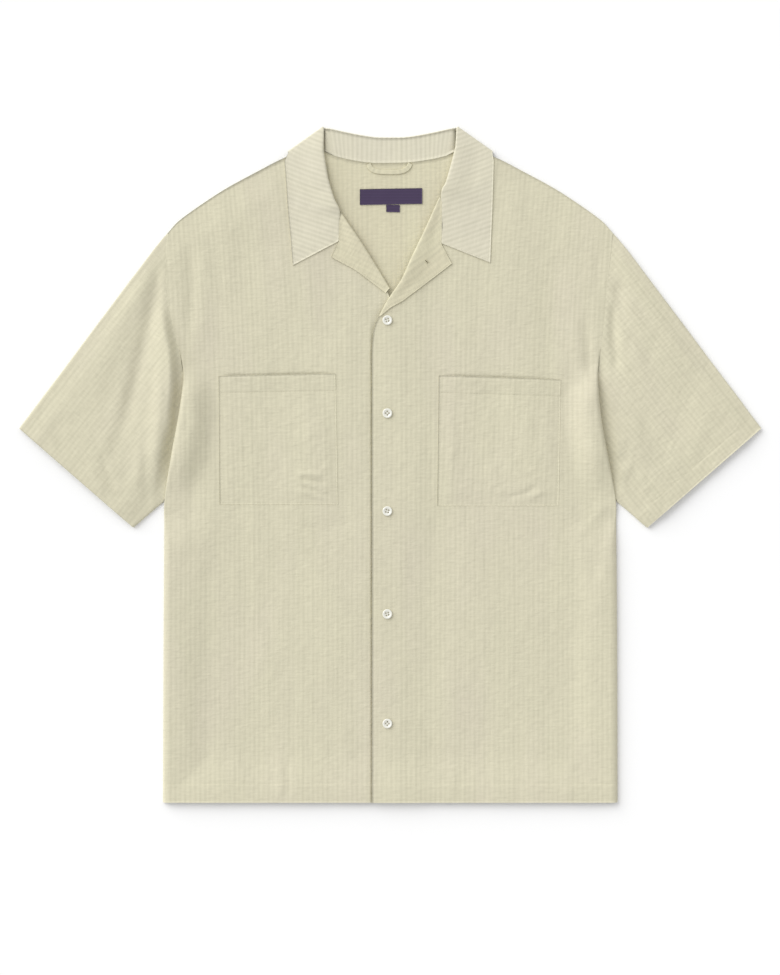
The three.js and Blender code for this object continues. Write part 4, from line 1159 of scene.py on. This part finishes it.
# Hanger loop: a narrow folded strip of the shirt's cloth
loopPath = table(
    "at x y",
    (0, -25.2, 350.2),
    (1, -22.2, 344.2),
    (2, -14.2, 340.9),
    (3, 0, 340.2),
    (4, 12.5, 340.9),
    (5, 19.8, 344.4),
    (6, 23.6, 350.2),
)
loopSet = {
    "wide": 5.6, "ply": 0.5, "stations": 70, "turns": 24, "square": 1.6, "grainStep": 9, "lift": 0.05,
    "halfHigh": 0.55, "rest": 1.1, "girth": 0.64, "long": 56,
}


def loopWall():
    s = loopSet
    at = np.linspace(0, loopPath["at"][-1], s["stations"])
    here = np.stack(curve(loopPath, "at", at), -1)
    way = unit(np.gradient(here, axis=0))
    side = np.stack([-way[:, 1], way[:, 0]], -1)
    turn = np.linspace(0, 2 * math.pi, s["turns"], endpoint=False)  # flattened tube, folded from a strip
    half = s["wide"] / 2 - s["ply"] / 2
    across = np.cos(turn) * half
    up = np.clip(np.sin(turn) * s["square"], -1, 1) * s["ply"] * s["halfHigh"]
    xy = here[:, None] + side[:, None] * across[None, :, None]
    z = backLow(xy[..., 0], xy[..., 1]) + layer + s["ply"] * s["rest"] + s["lift"] + up[None]
    girth = np.abs(turn - math.pi) * half * s["girth"]
    grain = np.stack(np.broadcast_arrays(at[:, None] * s["grainStep"], girth[None]), -1)
    return wallParts(np.concatenate([xy, z[..., None]], -1), grain, s["ply"], ring=True)


loop = makePiece("hangerLoop", [loopWall()], insideCotton)
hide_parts("hanger_loop")
print("loop made")

# Buttons: shell, cut as a disc with a turned dish, so they are bright with a cloudy lustre
buttonSet = {
    "x": -3.4, "ys": (167.8, 59.6, -54.2, -173.9, -301.2), "hole": 1.0, "spacing": 1.35, "sides": 48,
    "top": 1.25, "rings": ((2.4, 1.25), (3.0, 1.4), (3.7, 1.85), (4.4, 2.1), (5.0, 2.1), (5.5, 1.8),
                           (5.7, 1.3), (5.6, 0.7), (5.0, 0.15), (3.5, 0.0)),
    "turns": (0.3, 0.5), "lift": 0.1,
}
sewingThread = {"long": 3.4, "wide": 0.55, "high": 0.5, "above": 1.3}
shellSet = {
    "pearl": "#f4f2ea", "cloud": "#dfe4da", "blush": "#ebe8dd", "cloudScale": 320,
    "blushScale": 140, "swirl": 1.2, "roughness": 0.22, "iorLevel": 0.6, "coat": 0.4, "coatRoughness": 0.12,
}


def makeShell(name, s):
    material, tree = blankMaterial(name)
    place = node(tree, "TexCoord").outputs["Object"]
    clouds = node(tree, "TexNoise", {}, {
        "Vector": place, "Scale": s["cloudScale"], "Detail": 3.0, "Distortion": s["swirl"]})
    tints = node(tree, "TexNoise", {}, {"Vector": place, "Scale": s["blushScale"], "Detail": 1.0})
    base = blend(tree, clouds, linear(s["cloud"]), linear(s["pearl"]))
    addShader(tree, {
        "Base Color": blend(tree, tints, base, linear(s["blush"])), "Roughness": s["roughness"],
        "Specular IOR Level": s["iorLevel"], "Coat Weight": s["coat"], "Coat Roughness": s["coatRoughness"],
    })
    return material


shell = makeShell("polishedShellButton", shellSet)


def buttonMesh(name, x, y, z, turn):
    s, rings, count = buttonSet, buttonSet["rings"], buttonSet["sides"]
    angles = [2 * math.pi * k / count for k in range(count)]
    points = [(r * math.cos(a), r * math.sin(a), h) for r, h in rings for a in angles]
    faces = []
    for i in range(len(rings) - 1):
        for k in range(count):
            a, b = i * count + k, i * count + (k + 1) % count
            faces.append((a, a + count, b + count, b))
    top, bottom, base = len(points), len(points) + 1, (len(rings) - 1) * count
    points += [(0, 0, s["top"]), (0, 0, 0)]
    for k in range(count):
        faces.append((top, k, (k + 1) % count))
        faces.append((bottom, base + (k + 1) % count, base + k))
    mesh = bpy.data.meshes.new(name)
    mesh.from_pydata((np.array(points) * mm).tolist(), [], faces)
    blank = addObject(name + "Blank", mesh)
    drills = []
    for dx in (-1, 1):
        for dy in (-1, 1):
            bpy.ops.mesh.primitive_cylinder_add(
                vertices=20, radius=s["hole"] * mm, depth=10 * mm,
                location=(dx * s["spacing"] * mm, dy * s["spacing"] * mm, 0))
            drills.append(bpy.context.object)
            cut = blank.modifiers.new("drill", "BOOLEAN")
            cut.operation, cut.solver, cut.object = "DIFFERENCE", "EXACT", drills[-1]
    drilled = bpy.data.meshes.new_from_object(blank.evaluated_get(bpy.context.evaluated_depsgraph_get()))
    for old in [blank, *drills]:
        bpy.data.objects.remove(old)
    coords = np.zeros(len(drilled.vertices) * 3)
    drilled.vertices.foreach_get("co", coords)
    c, n = math.cos(turn), math.sin(turn)
    coords = coords.reshape(-1, 3) @ np.array([[c, n, 0], [-n, c, 0], [0, 0, 1]])
    coords = coords + np.array([x, y, z]) * mm
    drilled.vertices.foreach_set("co", coords.ravel())
    drilled.polygons.foreach_set("use_smooth", np.ones(len(drilled.polygons), bool))
    drilled.set_sharp_from_angle(angle=math.radians(35))
    drilled.materials.clear()
    drilled.materials.append(shell)
    return addObject(name, drilled)


for k, y in enumerate(buttonSet["ys"]):
    x = buttonSet["x"]
    seat = float(frontLow("left", np.array([x]), np.array([y]))[0]) + cloth
    turn = buttonSet["turns"][0] + buttonSet["turns"][1] * k
    piece = buttonMesh(f"shellButton_{k + 1}", x, y, seat + buttonSet["lift"], turn)
    way = np.array([-math.sin(turn), math.cos(turn), 0])
    aside = np.array([way[1], -way[0], 0]) * buttonSet["spacing"]
    middles = np.array([x, y, seat + sewingThread["above"]]) + np.stack([aside, -aside])
    makePiece(f"buttonThread_{k + 1}", [threadParts(middles, np.stack([way, way]), sewingThread)],
              collarCotton)
    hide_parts(f"button_{k + 1}")
    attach(piece, "root")
print("buttons made")

# Studio: white sweep, a broad distant light from the upper left and an even fill; sizes in metres
studio = {
    "floor": "#fbfbfb", "reach": 6.0, "drop": 0.0002, "fill": 0.70, "key": 2.26, "keySpread": 56,
    "keyFrom": (-1.1, 0.9, 0.8),
}


def makeStudio(s):
    material, tree = blankMaterial("whiteSweep")
    addShader(tree, {"Base Color": linear(s["floor"]), "Roughness": 1.0, "Specular IOR Level": 0.0})
    mesh = bpy.data.meshes.new("studioFloor")
    corners = [(x * s["reach"], y * s["reach"], 0) for x, y in ((-1, -1), (1, -1), (1, 1), (-1, 1))]
    mesh.from_pydata(corners, [], [(0, 1, 2, 3)])
    mesh.materials.append(material)
    floor = addObject("studioFloor", mesh)
    floor.location.z = -s["drop"]
    world = bpy.data.worlds.new("studioFill")
    world.use_nodes = True
    background = world.node_tree.nodes["Background"]
    background.inputs[0].default_value, background.inputs[1].default_value = (1, 1, 1, 1), s["fill"]
    scene.world = world
    light = bpy.data.lights.new("softKey", "SUN")
    light.angle, light.energy = math.radians(s["keySpread"]), s["key"]
    lamp = addObject("softKey", light)
    lamp.location = s["keyFrom"]
    x, y, z = s["keyFrom"]
    lamp.rotation_euler = (-math.atan2(math.hypot(x, y), z), 0, math.atan2(-x, y))
    scene.view_settings.view_transform = "Standard"


makeStudio(studio)
print("studio made")
